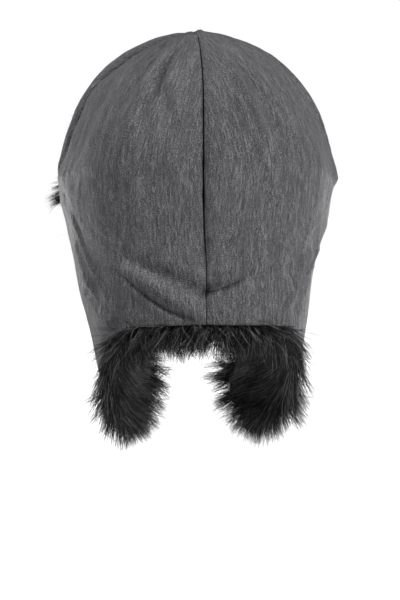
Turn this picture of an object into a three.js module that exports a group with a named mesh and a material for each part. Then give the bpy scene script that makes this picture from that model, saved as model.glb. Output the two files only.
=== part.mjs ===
// Ushanka (trapper hat) with its ear and neck flaps turned down and its visor turned up.
//
// Millimetres, +Z up, front towards -Y, wearer's left towards +X. The origin is the head seat: the
// inside of the crown's top, where it comes down on a head. All of the hat is below it, apart from the
// cloth of the crown's top.
//
// The cloth follows one master form. A place on the form is an azimuth, measured from the centre back
// and positive to the wearer's left, and a height. The pieces are patches of that form, each given a
// wall: four crown gores, two curtain halves (ear flap and half of the neck flap), the visor, and the
// pile on the inside of the curtain and on the face of the visor.

import * as THREE from "three";

// ---- Driving sizes ----------------------------------------------------------------------------

const CLOTH = 2; // wall of the cloth, with its backing
const GAP = 0.3; // clearance between neighbouring pieces
const APEX_Z = CLOTH + GAP; // outside of the crown's top
const BROW_Z = -128.5; // lower edge of the crown at the front and the sides
const CROWN_HEIGHT = APEX_Z - BROW_Z;
const CROWN_LEAN = -8; // the top's place along Y: slightly forward of the brow's middle

// The crown's profile is spread^DOME_SIDE + rise^DOME_TOP = 1: full at the sides, peaked at the top.
const DOME_SIDE = 1.557;
const DOME_TOP = 2.245;
const SQUARENESS = 2.4; // exponent of every horizontal section, 2 being an ellipse

// Horizontal sections from the brow down.
const SECTIONS = [
  { z: BROW_Z, half: 110, back: 112, front: 115, lean: 0 },
  { z: -146, half: 107.2, back: 112, front: 114.6, lean: 0.4 },
  { z: -165, half: 102.4, back: 112, front: 114, lean: 1.2 },
  { z: -184, half: 97.2, back: 112, front: 113.4, lean: 2.2 },
  { z: -220, half: 90.4, back: 112, front: 112.4, lean: 1.8 },
  { z: -258, half: 83, back: 109, front: 110, lean: 0 },
  { z: -280, half: 78, back: 105, front: 108, lean: 0 },
  { z: -360, half: 64, back: 92, front: 98, lean: 0 },
];

// Seams
const SIDE_SEAM_TOP_AZIMUTH = 50; // side seam, at the apex
const CORNER_AZIMUTH = 74; // side seam, at the brow: the corner where the back gore drops away
const BACK_SEAM_Z = -216; // lower end of the centre-back seam of the crown
const BACK_SEAM_CURVE = 1.3; // exponent of the drop from the corner to the centre back
const SEAM_DIP = 1.4; // depth of the valley that a seam pulls into the cloth
const SEAM_DIP_WIDTH = 7;

// Beside each side seam, from the brow (share 0) to the apex: how far the back gore's shoulder, the
// seam itself and the crest of the front gore's roll stand outside the form.
const SIDE_SHAPES = {
  left: [
    { share: 0, shoulder: -2.5, seam: -1, roll: -0.8 },
    { share: 0.1, shoulder: -5, seam: -2.6, roll: -0.4 },
    { share: 0.25, shoulder: -7.5, seam: -4.6, roll: -0.4 },
    { share: 0.38, shoulder: -8.5, seam: -5.4, roll: -1.4 },
    { share: 0.52, shoulder: -7.6, seam: -3.4, roll: -1.2 },
    { share: 0.7, shoulder: -8.2, seam: -5.4, roll: -0.4 },
    { share: 0.85, shoulder: -6.4, seam: -4.4, roll: 0.6 },
    { share: 0.94, shoulder: -3.6, seam: -2.4, roll: 2.2 },
    { share: 0.98, shoulder: -1, seam: -0.4, roll: 2.4 },
    { share: 1, shoulder: 0, seam: 0, roll: 0 },
  ],
  right: [
    { share: 0, shoulder: -2, seam: 0, roll: 0.4 },
    { share: 0.1, shoulder: -4, seam: -0.8, roll: -0.2 },
    { share: 0.2, shoulder: -6, seam: -1.8, roll: -1.8 },
    { share: 0.3, shoulder: -7, seam: -2.4, roll: -0.6 },
    { share: 0.5, shoulder: -7.2, seam: -2.6, roll: 0.2 },
    { share: 0.7, shoulder: -5, seam: -0.6, roll: 1.6 },
    { share: 0.85, shoulder: -2.4, seam: 1.4, roll: 1.8 },
    { share: 1, shoulder: 0, seam: 0, roll: 0 },
  ],
};
// How far the gathered ends of the gores stand up at the apex, and over what width.
const PEAK = 5;
const PEAK_WIDTH = 12;

// Millimetres from the seam to where each of these lies, and to where the form is met again.
const SIDE_PLACES = { start: -85, shoulder: -35, seam: 0, roll: 13, end: 60 };
const TIP_OPENING = 0.05; // share of the meridian left open at the apex for the gathered tip

// The curtain, from the centre back (along 0) to its front edge (along 1).
const CURTAIN = [
  { along: 0, topAzimuth: 0, hemAzimuth: 0, hemZ: -237.5 },
  { along: 0.2, topAzimuth: 31, hemAzimuth: 32, hemZ: -238.5 },
  { along: 0.35, topAzimuth: 54, hemAzimuth: 53, hemZ: -257 },
  { along: 0.5, topAzimuth: 72, hemAzimuth: 77, hemZ: -285 },
  { along: 0.68, topAzimuth: 88, hemAzimuth: 106, hemZ: -309 },
  { along: 0.85, topAzimuth: 102, hemAzimuth: 134, hemZ: -316 },
  { along: 0.94, topAzimuth: 109.5, hemAzimuth: 148, hemZ: -310 },
  { along: 1, topAzimuth: 114, hemAzimuth: 155, hemZ: -290 },
];
const FRONT_EDGE_BOW = 9; // degrees that the flap's front edge is hollowed behind a straight line
const NECK_ALONG = 0.2; // where the neck's pile ends and the ear flap's begins

// Pile
const PILE = 23; // depth of the pile's outer form inside the curtain
const PILE_GAP = 0.7; // clearance between the pile's form and the cloth
const PILE_TOP = 7; // the same along the curtain's top seam, where the head presses it
const PILE_TAIL = 26; // length hanging below the hem
const PILE_SIDE_TAIL = 9; // degrees that it reaches past the flap's front edge
const PILE_PROUD = 6; // how far the hanging pile swells outside the cloth

// Visor
const VISOR_HALF_ANGLE = 65; // from the centre front to each end
const VISOR_HEIGHT = 78;
const VISOR_END_HEIGHT = 24;
const VISOR_STAND = 0.3; // share of the crown's fall-back that the visor does not follow
const VISOR_CLEARANCE = 1;
const VISOR_PILE = 23;
const VISOR_PILE_RIM = 7; // its depth along its edges
const VISOR_PILE_EDGE = 8; // pile beyond the visor's cloth, at its top, its ends and its fold

// Main folds: ridges (height > 0) and valleys (height < 0) along a line on the form.
const FOLDS = [
  { name: "neck_ridge", from: [23, -198], to: [4, -225], width: 8, height: 2.2 },
  { name: "neck_crease_upper", from: [32, -201], to: [20, -219], width: 6, height: -2.4 },
  { name: "neck_crease_lower", from: [20, -219], to: [7, -233], width: 6, height: -2.4 },
  { name: "corner_fold_left", from: [66, -136], to: [51, -162], width: 8, height: 1.8 },
  { name: "side_fold_left", from: [63, -178], to: [48, -206], width: 8, height: 2 },
  { name: "flap_fold_left", from: [60, -209], to: [37, -236], width: 6, height: 2 },
  { name: "side_fold_right", from: [-47, -188], to: [-33, -216], width: 9, height: 2 },
  { name: "crown_pucker_left", from: [12, -42], to: [23, -95], width: 12, height: 2 },
  { name: "crown_valley_left", from: [15, -58], to: [11, -105], width: 10, height: -1.6 },
  { name: "crown_valley_right", from: [-13, -60], to: [-21, -108], width: 11, height: -2 },
  { name: "crown_pucker_right", from: [-8, -60], to: [-21, -135], width: 12, height: 1.8 },
];

// ---- The master form --------------------------------------------------------------------------

const DEGREE = Math.PI / 180;
const lerp = THREE.MathUtils.lerp;
const clamp = THREE.MathUtils.clamp;

// Values of a table at x, each key's values joined by a smooth curve through its rows.
function readTable(rows, axis, x) {
  const rising = rows[0][axis] < rows[rows.length - 1][axis];
  let i = rows.findIndex((row) => (rising ? row[axis] >= x : row[axis] <= x));
  i = clamp(i < 0 ? rows.length - 1 : i, 1, rows.length - 1);
  const before = rows[Math.max(i - 2, 0)];
  const start = rows[i - 1];
  const end = rows[i];
  const after = rows[Math.min(i + 1, rows.length - 1)];
  const span = end[axis] - start[axis];
  const t = clamp((x - start[axis]) / span, 0, 1);
  const value = {};
  for (const key of Object.keys(start)) {
    const slopeIn = (span * (end[key] - before[key])) / (end[axis] - before[axis]);
    const slopeOut = (span * (after[key] - start[key])) / (after[axis] - start[axis]);
    const rise = end[key] - start[key];
    const cubic = slopeIn + slopeOut - 2 * rise;
    const square = 3 * rise - 2 * slopeIn - slopeOut;
    value[key] = start[key] + t * (slopeIn + t * (square + t * cubic));
  }
  return value;
}

// The section's half width, depths and middle at a height, above or below the brow.
function sectionAt(z) {
  if (z <= BROW_Z) return { ...readTable(SECTIONS, "z", z), middle: 0 };
  const rise = Math.min((z - BROW_Z) / CROWN_HEIGHT, 1);
  const spread = Math.pow(1 - Math.pow(rise, DOME_TOP), 1 / DOME_SIDE);
  const { half, back, front } = SECTIONS[0];
  return {
    half: half * spread,
    back: back * spread,
    front: front * spread,
    lean: 0,
    middle: CROWN_LEAN * rise,
  };
}

function formPoint(azimuth, z) {
  const section = sectionAt(z);
  const sine = Math.sin(azimuth * DEGREE);
  const cosine = Math.cos(azimuth * DEGREE);
  const depth = cosine > 0 ? section.back : section.front;
  const reach =
    Math.pow(Math.abs(sine) / section.half, SQUARENESS) +
    Math.pow(Math.abs(cosine) / depth, SQUARENESS);
  const radius = section.half < 1e-6 ? 0 : Math.pow(reach, -1 / SQUARENESS);
  return new THREE.Vector3(radius * sine + section.lean, radius * cosine + section.middle, z);
}

// Height on the form at a share of the crown's meridian, 0 at the apex and 1 at the brow.
function meridianZ(share) {
  return BROW_Z + CROWN_HEIGHT * Math.pow(Math.cos(share * 90 * DEGREE), 2 / DOME_TOP);
}

function formNormal(azimuth, z) {
  const stepZ = z > -4 ? -0.4 : 0.8;
  const here = formPoint(azimuth, z);
  const round = formPoint(azimuth + 0.5, z).sub(here);
  const rise = formPoint(azimuth, z + stepZ).sub(here);
  return rise.cross(round).multiplyScalar(Math.sign(stepZ)).normalize();
}

// ---- Seams and folds --------------------------------------------------------------------------

// Share of the crown's height at which a place lies, 0 at the brow and below it.
const crownShare = (z) => clamp((z - BROW_Z) / CROWN_HEIGHT, 0, 1);

function sideSeamAzimuth(z) {
  return lerp(CORNER_AZIMUTH, SIDE_SEAM_TOP_AZIMUTH, crownShare(z));
}

// Height of the seam between the crown and the curtain.
function baseSeamZ(azimuth) {
  const share = Math.min(Math.abs(azimuth) / CORNER_AZIMUTH, 1);
  return lerp(BACK_SEAM_Z, BROW_Z, Math.pow(share, BACK_SEAM_CURVE));
}

const bell = (distance, width) => Math.exp(-((distance / width) ** 2));

// Distance on the cloth from a place to the line between two places, all as [azimuth, z].
function distanceToLine(place, from, to) {
  const scale = sectionAt(place[1]).back * DEGREE;
  const a = new THREE.Vector2(from[0] * scale, from[1]);
  const b = new THREE.Vector2(to[0] * scale, to[1]);
  const p = new THREE.Vector2(place[0] * scale, place[1]);
  const line = b.clone().sub(a);
  const share = clamp(p.clone().sub(a).dot(line) / line.lengthSq(), 0, 1);
  return p.distanceTo(a.addScaledVector(line, share));
}

// What lies beside the side seams: the back gore drawn flat, and the front gore's roll.
function sideHeight(azimuth, z) {
  const at = readTable(SIDE_SHAPES[azimuth > 0 ? "left" : "right"], "share", crownShare(z));
  const half = sectionAt(z).back;
  const arc = (Math.abs(azimuth) - sideSeamAzimuth(z)) * half * DEGREE;
  const beyond = arc / (0.35 + (0.65 * half) / SECTIONS[0].back);
  const { start, shoulder, seam, roll, end } = SIDE_PLACES;
  const falling = THREE.MathUtils.smoothstep(beyond, start, shoulder);
  const toSeam = clamp((beyond - shoulder) / (seam - shoulder), 0, 1) ** 2;
  const toRoll = 1 - clamp((roll - beyond) / (roll - seam), 0, 1) ** 2;
  const leaving = THREE.MathUtils.smoothstep(beyond, roll, end);
  const backGore = at.shoulder * falling + (at.seam - at.shoulder) * toSeam;
  const frontGore = (at.roll - at.seam) * toRoll - at.roll * leaving;
  return (backGore + frontGore) * bell(Math.max(BROW_Z - z, 0), 18);
}

// How far the cloth stands outside the master form at a place.
function relief(azimuth, z) {
  const scale = sectionAt(z).back * DEGREE;
  const fromBack = Math.abs(azimuth) * scale;
  const fromSide = Math.abs(Math.abs(azimuth) - sideSeamAzimuth(z)) * scale;
  const fromFront = (180 - Math.abs(azimuth)) * scale;
  const fromBase = Math.abs(z - baseSeamZ(azimuth));
  const onCrown = z > baseSeamZ(azimuth);
  let seam = Math.max(bell(fromBack, SEAM_DIP_WIDTH), bell(fromBase, SEAM_DIP_WIDTH));
  if (onCrown) {
    seam = Math.max(seam, bell(fromFront, SEAM_DIP_WIDTH), bell(fromSide, SEAM_DIP_WIDTH));
  }
  let height = sideHeight(azimuth, z) - SEAM_DIP * seam;
  height += PEAK * Math.exp(-sectionAt(z).half / PEAK_WIDTH);
  for (const fold of FOLDS) {
    const distance = distanceToLine([azimuth, z], fold.from, fold.to);
    height += fold.height * bell(distance, fold.width);
  }
  return height;
}

// A place on the cloth, sunk by a depth below its outside.
function clothPoint(azimuth, z, depth) {
  const out = relief(azimuth, z) - depth;
  return formPoint(azimuth, z).addScaledVector(formNormal(azimuth, z), out);
}

// ---- Patches to solids ------------------------------------------------------------------------

// Evenly spaced stations from one value to another, both included.
function stations(from, to, count) {
  return Array.from({ length: count + 1 }, (_, i) => lerp(from, to, i / count));
}

// A closed solid between two grids of points. outer(u, v) and inner(u, v) are read at each station;
// side is 1 where u runs towards the wearer's left and -1 where it runs the other way.
function slab(outer, inner, us, vs, side = 1) {
  const columns = us.length - 1;
  const rows = vs.length - 1;
  const points = [outer, inner].flatMap((face) => vs.flatMap((v) => us.map((u) => face(u, v))));
  const at = (face, i, j) => (face * (rows + 1) + j) * (columns + 1) + i;
  const index = [];
  const quad = (a, b, c, d) => index.push(...(side > 0 ? [a, c, b, a, d, c] : [a, b, c, a, c, d]));
  for (let j = 0; j < rows; j++) {
    for (let i = 0; i < columns; i++) {
      quad(at(0, i, j), at(0, i, j + 1), at(0, i + 1, j + 1), at(0, i + 1, j));
      quad(at(1, i, j), at(1, i + 1, j), at(1, i + 1, j + 1), at(1, i, j + 1));
    }
    quad(at(0, 0, j), at(1, 0, j), at(1, 0, j + 1), at(0, 0, j + 1));
    quad(at(0, columns, j), at(0, columns, j + 1), at(1, columns, j + 1), at(1, columns, j));
  }
  for (let i = 0; i < columns; i++) {
    quad(at(0, i, 0), at(0, i + 1, 0), at(1, i + 1, 0), at(1, i, 0));
    quad(at(0, i, rows), at(1, i, rows), at(1, i + 1, rows), at(0, i + 1, rows));
  }
  const geometry = new THREE.BufferGeometry().setFromPoints(points);
  geometry.setIndex(index);
  geometry.computeVertexNormals();
  return geometry;
}

// ---- Materials --------------------------------------------------------------------------------

function nylon() {
  return new THREE.MeshStandardMaterial({ color: 0x5f5f61, roughness: 0.8, metalness: 0 });
}

function fauxFur() {
  return new THREE.MeshStandardMaterial({ color: 0x171717, roughness: 0.9, metalness: 0 });
}

const hat = new THREE.Group();

function addPiece(name, geometry, material) {
  const piece = new THREE.Mesh(geometry, material);
  piece.name = name;
  hat.add(piece);
}

const SIDES = [
  { name: "left", sign: 1 },
  { name: "right", sign: -1 },
];

// ---- Crown gores ------------------------------------------------------------------------------

const BELOW_BROW_MERIDIAN = 150; // millimetres below the brow that count as one more meridian

// Half of GAP along the form, as an angle.
function gapAngle(z) {
  return GAP / 2 / (Math.max(sectionAt(z).half, 3) * DEGREE);
}

// u runs across the gore, v from the apex down to its lower edge.
function gorePoint(part, sign, u, v, depth) {
  const low = part === "back" ? 0 : CORNER_AZIMUTH;
  const high = part === "back" ? CORNER_AZIMUTH : 180;
  const foot = part === "back" ? baseSeamZ(lerp(low, high, u)) : BROW_Z;
  const total = 1 + (BROW_Z - foot) / BELOW_BROW_MERIDIAN;
  const share = lerp(TIP_OPENING, total, v);
  const z = share < 1 ? meridianZ(share) : BROW_Z - (share - 1) * BELOW_BROW_MERIDIAN;
  const seam = sideSeamAzimuth(z);
  const gap = gapAngle(z);
  const start = part === "back" ? gap : seam + gap;
  const end = part === "back" ? seam - gap : 180 - gap;
  return clothPoint(sign * lerp(start, end, u), z, depth);
}

// Across a gore, closer together beside the side seam.
const GORE_STATIONS = {
  back: stations(0, 1, 10),
  front: [0, 0.05, 0.1, 0.16, 0.23, 0.32, 0.43, 0.56, 0.7, 0.85, 1],
};

for (const part of ["back", "front"]) {
  for (const side of SIDES) {
    const outer = (u, v) => gorePoint(part, side.sign, u, v, 0);
    const inner = (u, v) => gorePoint(part, side.sign, u, v, CLOTH);
    const wall = slab(outer, inner, GORE_STATIONS[part], stations(0, 1, 14), side.sign);
    addPiece(`crown_${part}_${side.name}`, wall, nylon());
  }
}

// The gathered ends of the four gores, pinched into a small knot at the apex.
const TIP_RISE = 3.4; // how far the knot stands above the form's apex
function crownTip() {
  const profile = [
    [0, -2.4],
    [3.3, -2.1],
    [3.3, 0.2],
    [4.2, 0.6],
    [3.9, 1.6],
    [2.2, 2.3],
    [0, 2.4],
  ];
  const points = profile.map(([radius, z]) => new THREE.Vector2(radius, z));
  return new THREE.LatheGeometry(points, 16)
    .rotateX(Math.PI / 2)
    .translate(0, CROWN_LEAN, APEX_Z + TIP_RISE);
}
addPiece("crown_tip", crownTip(), nylon());

// ---- Curtain ----------------------------------------------------------------------------------

// A place on the curtain: along from the centre back to the front edge, down from the top to the hem.
function curtainPlace(along, down) {
  const row = readTable(CURTAIN, "along", Math.min(along, 1));
  const topZ = baseSeamZ(row.topAzimuth) - GAP;
  const bow = FRONT_EDGE_BOW * Math.sin(Math.PI * Math.min(down, 1)) * Math.min(along, 1) ** 3;
  const share = Math.min(down, 1);
  return [lerp(row.topAzimuth, row.hemAzimuth, share) - bow, lerp(topZ, row.hemZ, share)];
}

function curtainPoint(sign, along, down, depth) {
  const [azimuth, z] = curtainPlace(along, down);
  const keepClear = along === 0 ? gapAngle(z) : 0;
  return clothPoint(sign * (azimuth + keepClear), z, depth);
}

// The pile inside shares these stations, so that it stays parallel to the cloth.
const CURTAIN_COLUMNS = 20;
const DOWN = stations(0, 1, 10);

for (const side of SIDES) {
  const outer = (along, down) => curtainPoint(side.sign, along, down, 0);
  const inner = (along, down) => curtainPoint(side.sign, along, down, CLOTH);
  const wall = slab(outer, inner, stations(0, 1, CURTAIN_COLUMNS), DOWN, side.sign);
  addPiece(`curtain_${side.name}`, wall, nylon());
}

// ---- Pile inside the curtain ------------------------------------------------------------------

const TAIL_START = 0.1; // share of the tail over which the pile stays behind the cloth's edge
const TAIL = [TAIL_START, 0.3, 0.52, 0.76, 1].map((share) => 1 + share);
const SWELL_TOP = 0.15; // the hanging pile swells outward only below this share of the front edge
const NECK_GAP = 0.0012; // half of the clearance to the ear flap's pile, as a share of the curtain

// Depths below the cloth's outside of the pile's two faces. beyond is 0 inside the curtain's outline
// and 1 at the end of the hanging pile.
function pileDepths(down, beyond) {
  const full = lerp(PILE_TOP, PILE, THREE.MathUtils.smoothstep(down, 0, 0.4));
  const swell = PILE_PROUD * THREE.MathUtils.smoothstep(down, SWELL_TOP, 0.5);
  const hanging = THREE.MathUtils.smoothstep(beyond, TAIL_START, 0.5);
  const closing = THREE.MathUtils.smoothstep(beyond, 0.45, 1);
  const outer = lerp(CLOTH + PILE_GAP, -swell, hanging) + (swell + 3) * closing;
  const inner = CLOTH + PILE_GAP + full - (full / 2) * closing;
  return { outer, inner };
}

// along and down may pass 1 by up to 1, which is the hanging pile.
function pilePoint(sign, along, down, face) {
  const pastFront = Math.max(along - 1, 0);
  const pastHem = Math.max(down - 1, 0);
  const reachFront = pastFront * Math.sqrt(1 - pastHem ** 2 / 2);
  const reachHem = pastHem * Math.sqrt(1 - pastFront ** 2 / 2);
  const [azimuth, z] = curtainPlace(along, down);
  const beyond = Math.min(Math.hypot(reachFront, reachHem), 1);
  const lowerZ = z - PILE_TAIL * reachHem;
  const wide = azimuth + PILE_SIDE_TAIL * reachFront;
  const out = -pileDepths(down, beyond)[face] + relief(sign * azimuth, z);
  return formPoint(sign * wide, lowerZ).addScaledVector(formNormal(sign * wide, lowerZ), out);
}

function neckPile(face) {
  return (along, down) => pilePoint(Math.sign(along) || 1, Math.abs(along), down, face);
}
const neckEnd = NECK_ALONG - NECK_GAP;
const neckColumns = stations(-neckEnd, neckEnd, 2 * NECK_ALONG * CURTAIN_COLUMNS);
const neckSlab = slab(neckPile("outer"), neckPile("inner"), neckColumns, [...DOWN, ...TAIL]);
addPiece("fur_neck", neckSlab, fauxFur());

const flapStart = NECK_ALONG + NECK_GAP;
const flapColumns = [...stations(flapStart, 1, (1 - NECK_ALONG) * CURTAIN_COLUMNS), ...TAIL];
for (const side of SIDES) {
  const face = (name) => (along, down) => pilePoint(side.sign, along, down, name);
  const pile = slab(face("outer"), face("inner"), flapColumns, [...DOWN, ...TAIL], side.sign);
  addPiece(`fur_flap_${side.name}`, pile, fauxFur());
}

// ---- Visor ------------------------------------------------------------------------------------

// A place on the visor: across from -1 to 1, up from its fold (0) to its top edge (1). margin widens
// its outline all round, and stand is the distance outside the crown.
function visorPoint(across, up, margin, stand) {
  const halfAngle = VISOR_HALF_ANGLE + margin / (SECTIONS[0].front * DEGREE);
  const round = Math.pow(1 - Math.abs(across) ** 3.2, 1 / 2);
  const height = lerp(VISOR_END_HEIGHT, VISOR_HEIGHT, round) + 2 * margin;
  const lift = height * up - margin;
  const z = BROW_Z + lift;
  const crown = sectionAt(Math.max(z, BROW_Z));
  const brow = SECTIONS[0];
  const upright = lerp(crown.front / brow.front, 1, VISOR_STAND);
  const angle = across * halfAngle * DEGREE;
  const reach =
    Math.pow(Math.abs(Math.sin(angle)) / (brow.half * upright), SQUARENESS) +
    Math.pow(Math.cos(angle) / (brow.front * upright), SQUARENESS);
  const radius = Math.pow(reach, -1 / SQUARENESS) + stand;
  return new THREE.Vector3(radius * Math.sin(angle), -radius * Math.cos(angle) + crown.middle, z);
}

const ACROSS = stations(-1, 1, 24);

const visorCloth = (stand) => (across, up) => visorPoint(across, up, 0, stand);
const visorOutside = VISOR_CLEARANCE + CLOTH;
const visorWall = slab(visorCloth(visorOutside), visorCloth(VISOR_CLEARANCE), ACROSS, stations(0, 1, 5));
addPiece("visor", visorWall, nylon());

// The pile is deepest in the middle of the visor's face and rounds off to its edges.
const visorPileBack = visorOutside + PILE_GAP;

function visorPile(across, up) {
  const edge = Math.min(2 * (1 - Math.abs(across)), 3 * up, 3 * (1 - up), 1);
  const roundness = Math.sqrt(1 - (1 - edge) ** 2);
  const stand = visorPileBack + lerp(VISOR_PILE_RIM, VISOR_PILE, roundness);
  return visorPoint(across, up, VISOR_PILE_EDGE, stand);
}
const visorPileInner = (across, up) => visorPoint(across, up, VISOR_PILE_EDGE, visorPileBack);
addPiece("visor_fur", slab(visorPile, visorPileInner, ACROSS, stations(0, 1, 7)), fauxFur());

export default hat;
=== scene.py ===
"""Ushanka in crinkled nylon and black faux fur, its flaps down and its visor up.

Laid out as an add-on: each operator makes one group of pieces, the panel lists them, and main() runs
them in order. Tables are in millimetres and degrees; meshes are in metres, +Z up, front towards -Y and
the wearer's left towards +X. A place on the hat is an azimuth, from the centre back and positive to the
wearer's left, and a height below the head seat, which is the origin.
"""

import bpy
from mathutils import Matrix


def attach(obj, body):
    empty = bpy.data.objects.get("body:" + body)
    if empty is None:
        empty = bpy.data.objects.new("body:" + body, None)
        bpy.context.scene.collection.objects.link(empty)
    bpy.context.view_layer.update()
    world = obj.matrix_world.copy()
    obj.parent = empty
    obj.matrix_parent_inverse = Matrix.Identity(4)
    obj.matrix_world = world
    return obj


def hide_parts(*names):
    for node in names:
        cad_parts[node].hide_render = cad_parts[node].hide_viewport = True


bl_info = {
    "name": "Ushanka",
    "version": (1, 0, 0),
    "blender": (4, 5, 0),
    "location": "View3D > Sidebar > Ushanka",
    "description": "Makes a trapper hat with its flaps down, in crinkled nylon and faux fur",
    "category": "Add Mesh",
}

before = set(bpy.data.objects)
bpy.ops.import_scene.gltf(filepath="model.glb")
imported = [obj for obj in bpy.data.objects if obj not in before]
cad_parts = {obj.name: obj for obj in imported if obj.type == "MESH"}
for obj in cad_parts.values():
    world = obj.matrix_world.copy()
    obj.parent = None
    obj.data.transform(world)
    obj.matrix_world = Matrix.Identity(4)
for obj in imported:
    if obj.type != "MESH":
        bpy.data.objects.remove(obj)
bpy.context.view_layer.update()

import math

import bmesh
import bpy
import numpy as np
from bpy.props import FloatProperty, FloatVectorProperty, IntProperty, PointerProperty
from mathutils import Vector
from mathutils.kdtree import KDTree

BODY = "root"
MM = 0.001
DEGREE = math.pi / 180
SIDES = {"left": 1, "right": -1}


# ---- Tables of the form -----------------------------------------------------------------------


def table(columns, *rows):
    """A table with named columns, as one array for each."""
    return dict(zip(columns.split(), np.array(rows, float).T))


BROW_Z = -128.5  # where the crown's dome begins
APEX_Z = 2.3
CROWN_HEIGHT = APEX_Z - BROW_Z
CROWN_LEAN = -8.0  # place of the apex along Y, a little in front of the hat's axis
# The dome's curve: half width ** DOME_SIDE + height ** DOME_TOP = 1, each as a share of its greatest.
DOME_SIDE = 1.557
DOME_TOP = 2.245
SQUARENESS = 2.4  # power of each horizontal section, where 2 is an ellipse

# Horizontal sections from the brow down.
SECTIONS = table(
    "z half back front lean",
    (-360, 64, 92, 98, 0),
    (-280, 78, 105, 108, 0),
    (-258, 83, 109, 110, 0),
    (-220, 90.4, 112, 112.4, 1.8),
    (-184, 97.2, 112, 113.4, 2.2),
    (-165, 102.4, 112, 114, 1.2),
    (-146, 107.2, 112, 114.6, 0.4),
    (BROW_Z, 110, 112, 115, 0),
)
BROW = {"half": 110.0, "back": 112.0, "front": 115.0}

SIDE_SEAM_TOP_AZIMUTH = 50.0
CORNER_AZIMUTH = 74.0  # where the side seams meet the seam at the crown's base
BACK_SEAM_Z = -216.0  # the back seam's foot, which is the lowest point of the base seam
BACK_SEAM_CURVE = 1.3  # power of the base seam's rise from there to the corners
RIGHT_CORNER_RISE = 7.0

# The curtain, from the centre back (along 0) to its front edge (along 1).
CURTAIN = table(
    "along top_azimuth hem_azimuth hem_left hem_right",
    (0, 0, 0, -235.4, -235.4),
    (0.14, 22, 22, -237, -236.4),
    (0.2, 31, 32, -241.5, -238),
    (0.27, 42, 42, -252.5, -243.4),
    (0.35, 54, 53, -270, -262),
    (0.5, 72, 77, -292, -289),
    (0.68, 88, 106, -311, -310),
    (0.85, 102, 134, -317, -316),
    (0.94, 109.5, 148, -310, -310),
    (1, 114, 155, -290, -290),
)
FRONT_EDGE_BOW = 9.0  # degrees that the front edge is hollowed
NECK_ALONG = 0.2  # where the neck flap's pile gives way to the ear flap's

VISOR_HALF_ANGLE = 65.0
VISOR_HALF_LENGTH = 120.0
VISOR_HEIGHT = 78.0
VISOR_END_HEIGHT = 24.0
VISOR_ROUNDNESS = 3.2  # power of its top edge's curve
VISOR_STAND = 0.3  # share of the crown's slope that the visor doesn't follow

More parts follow.
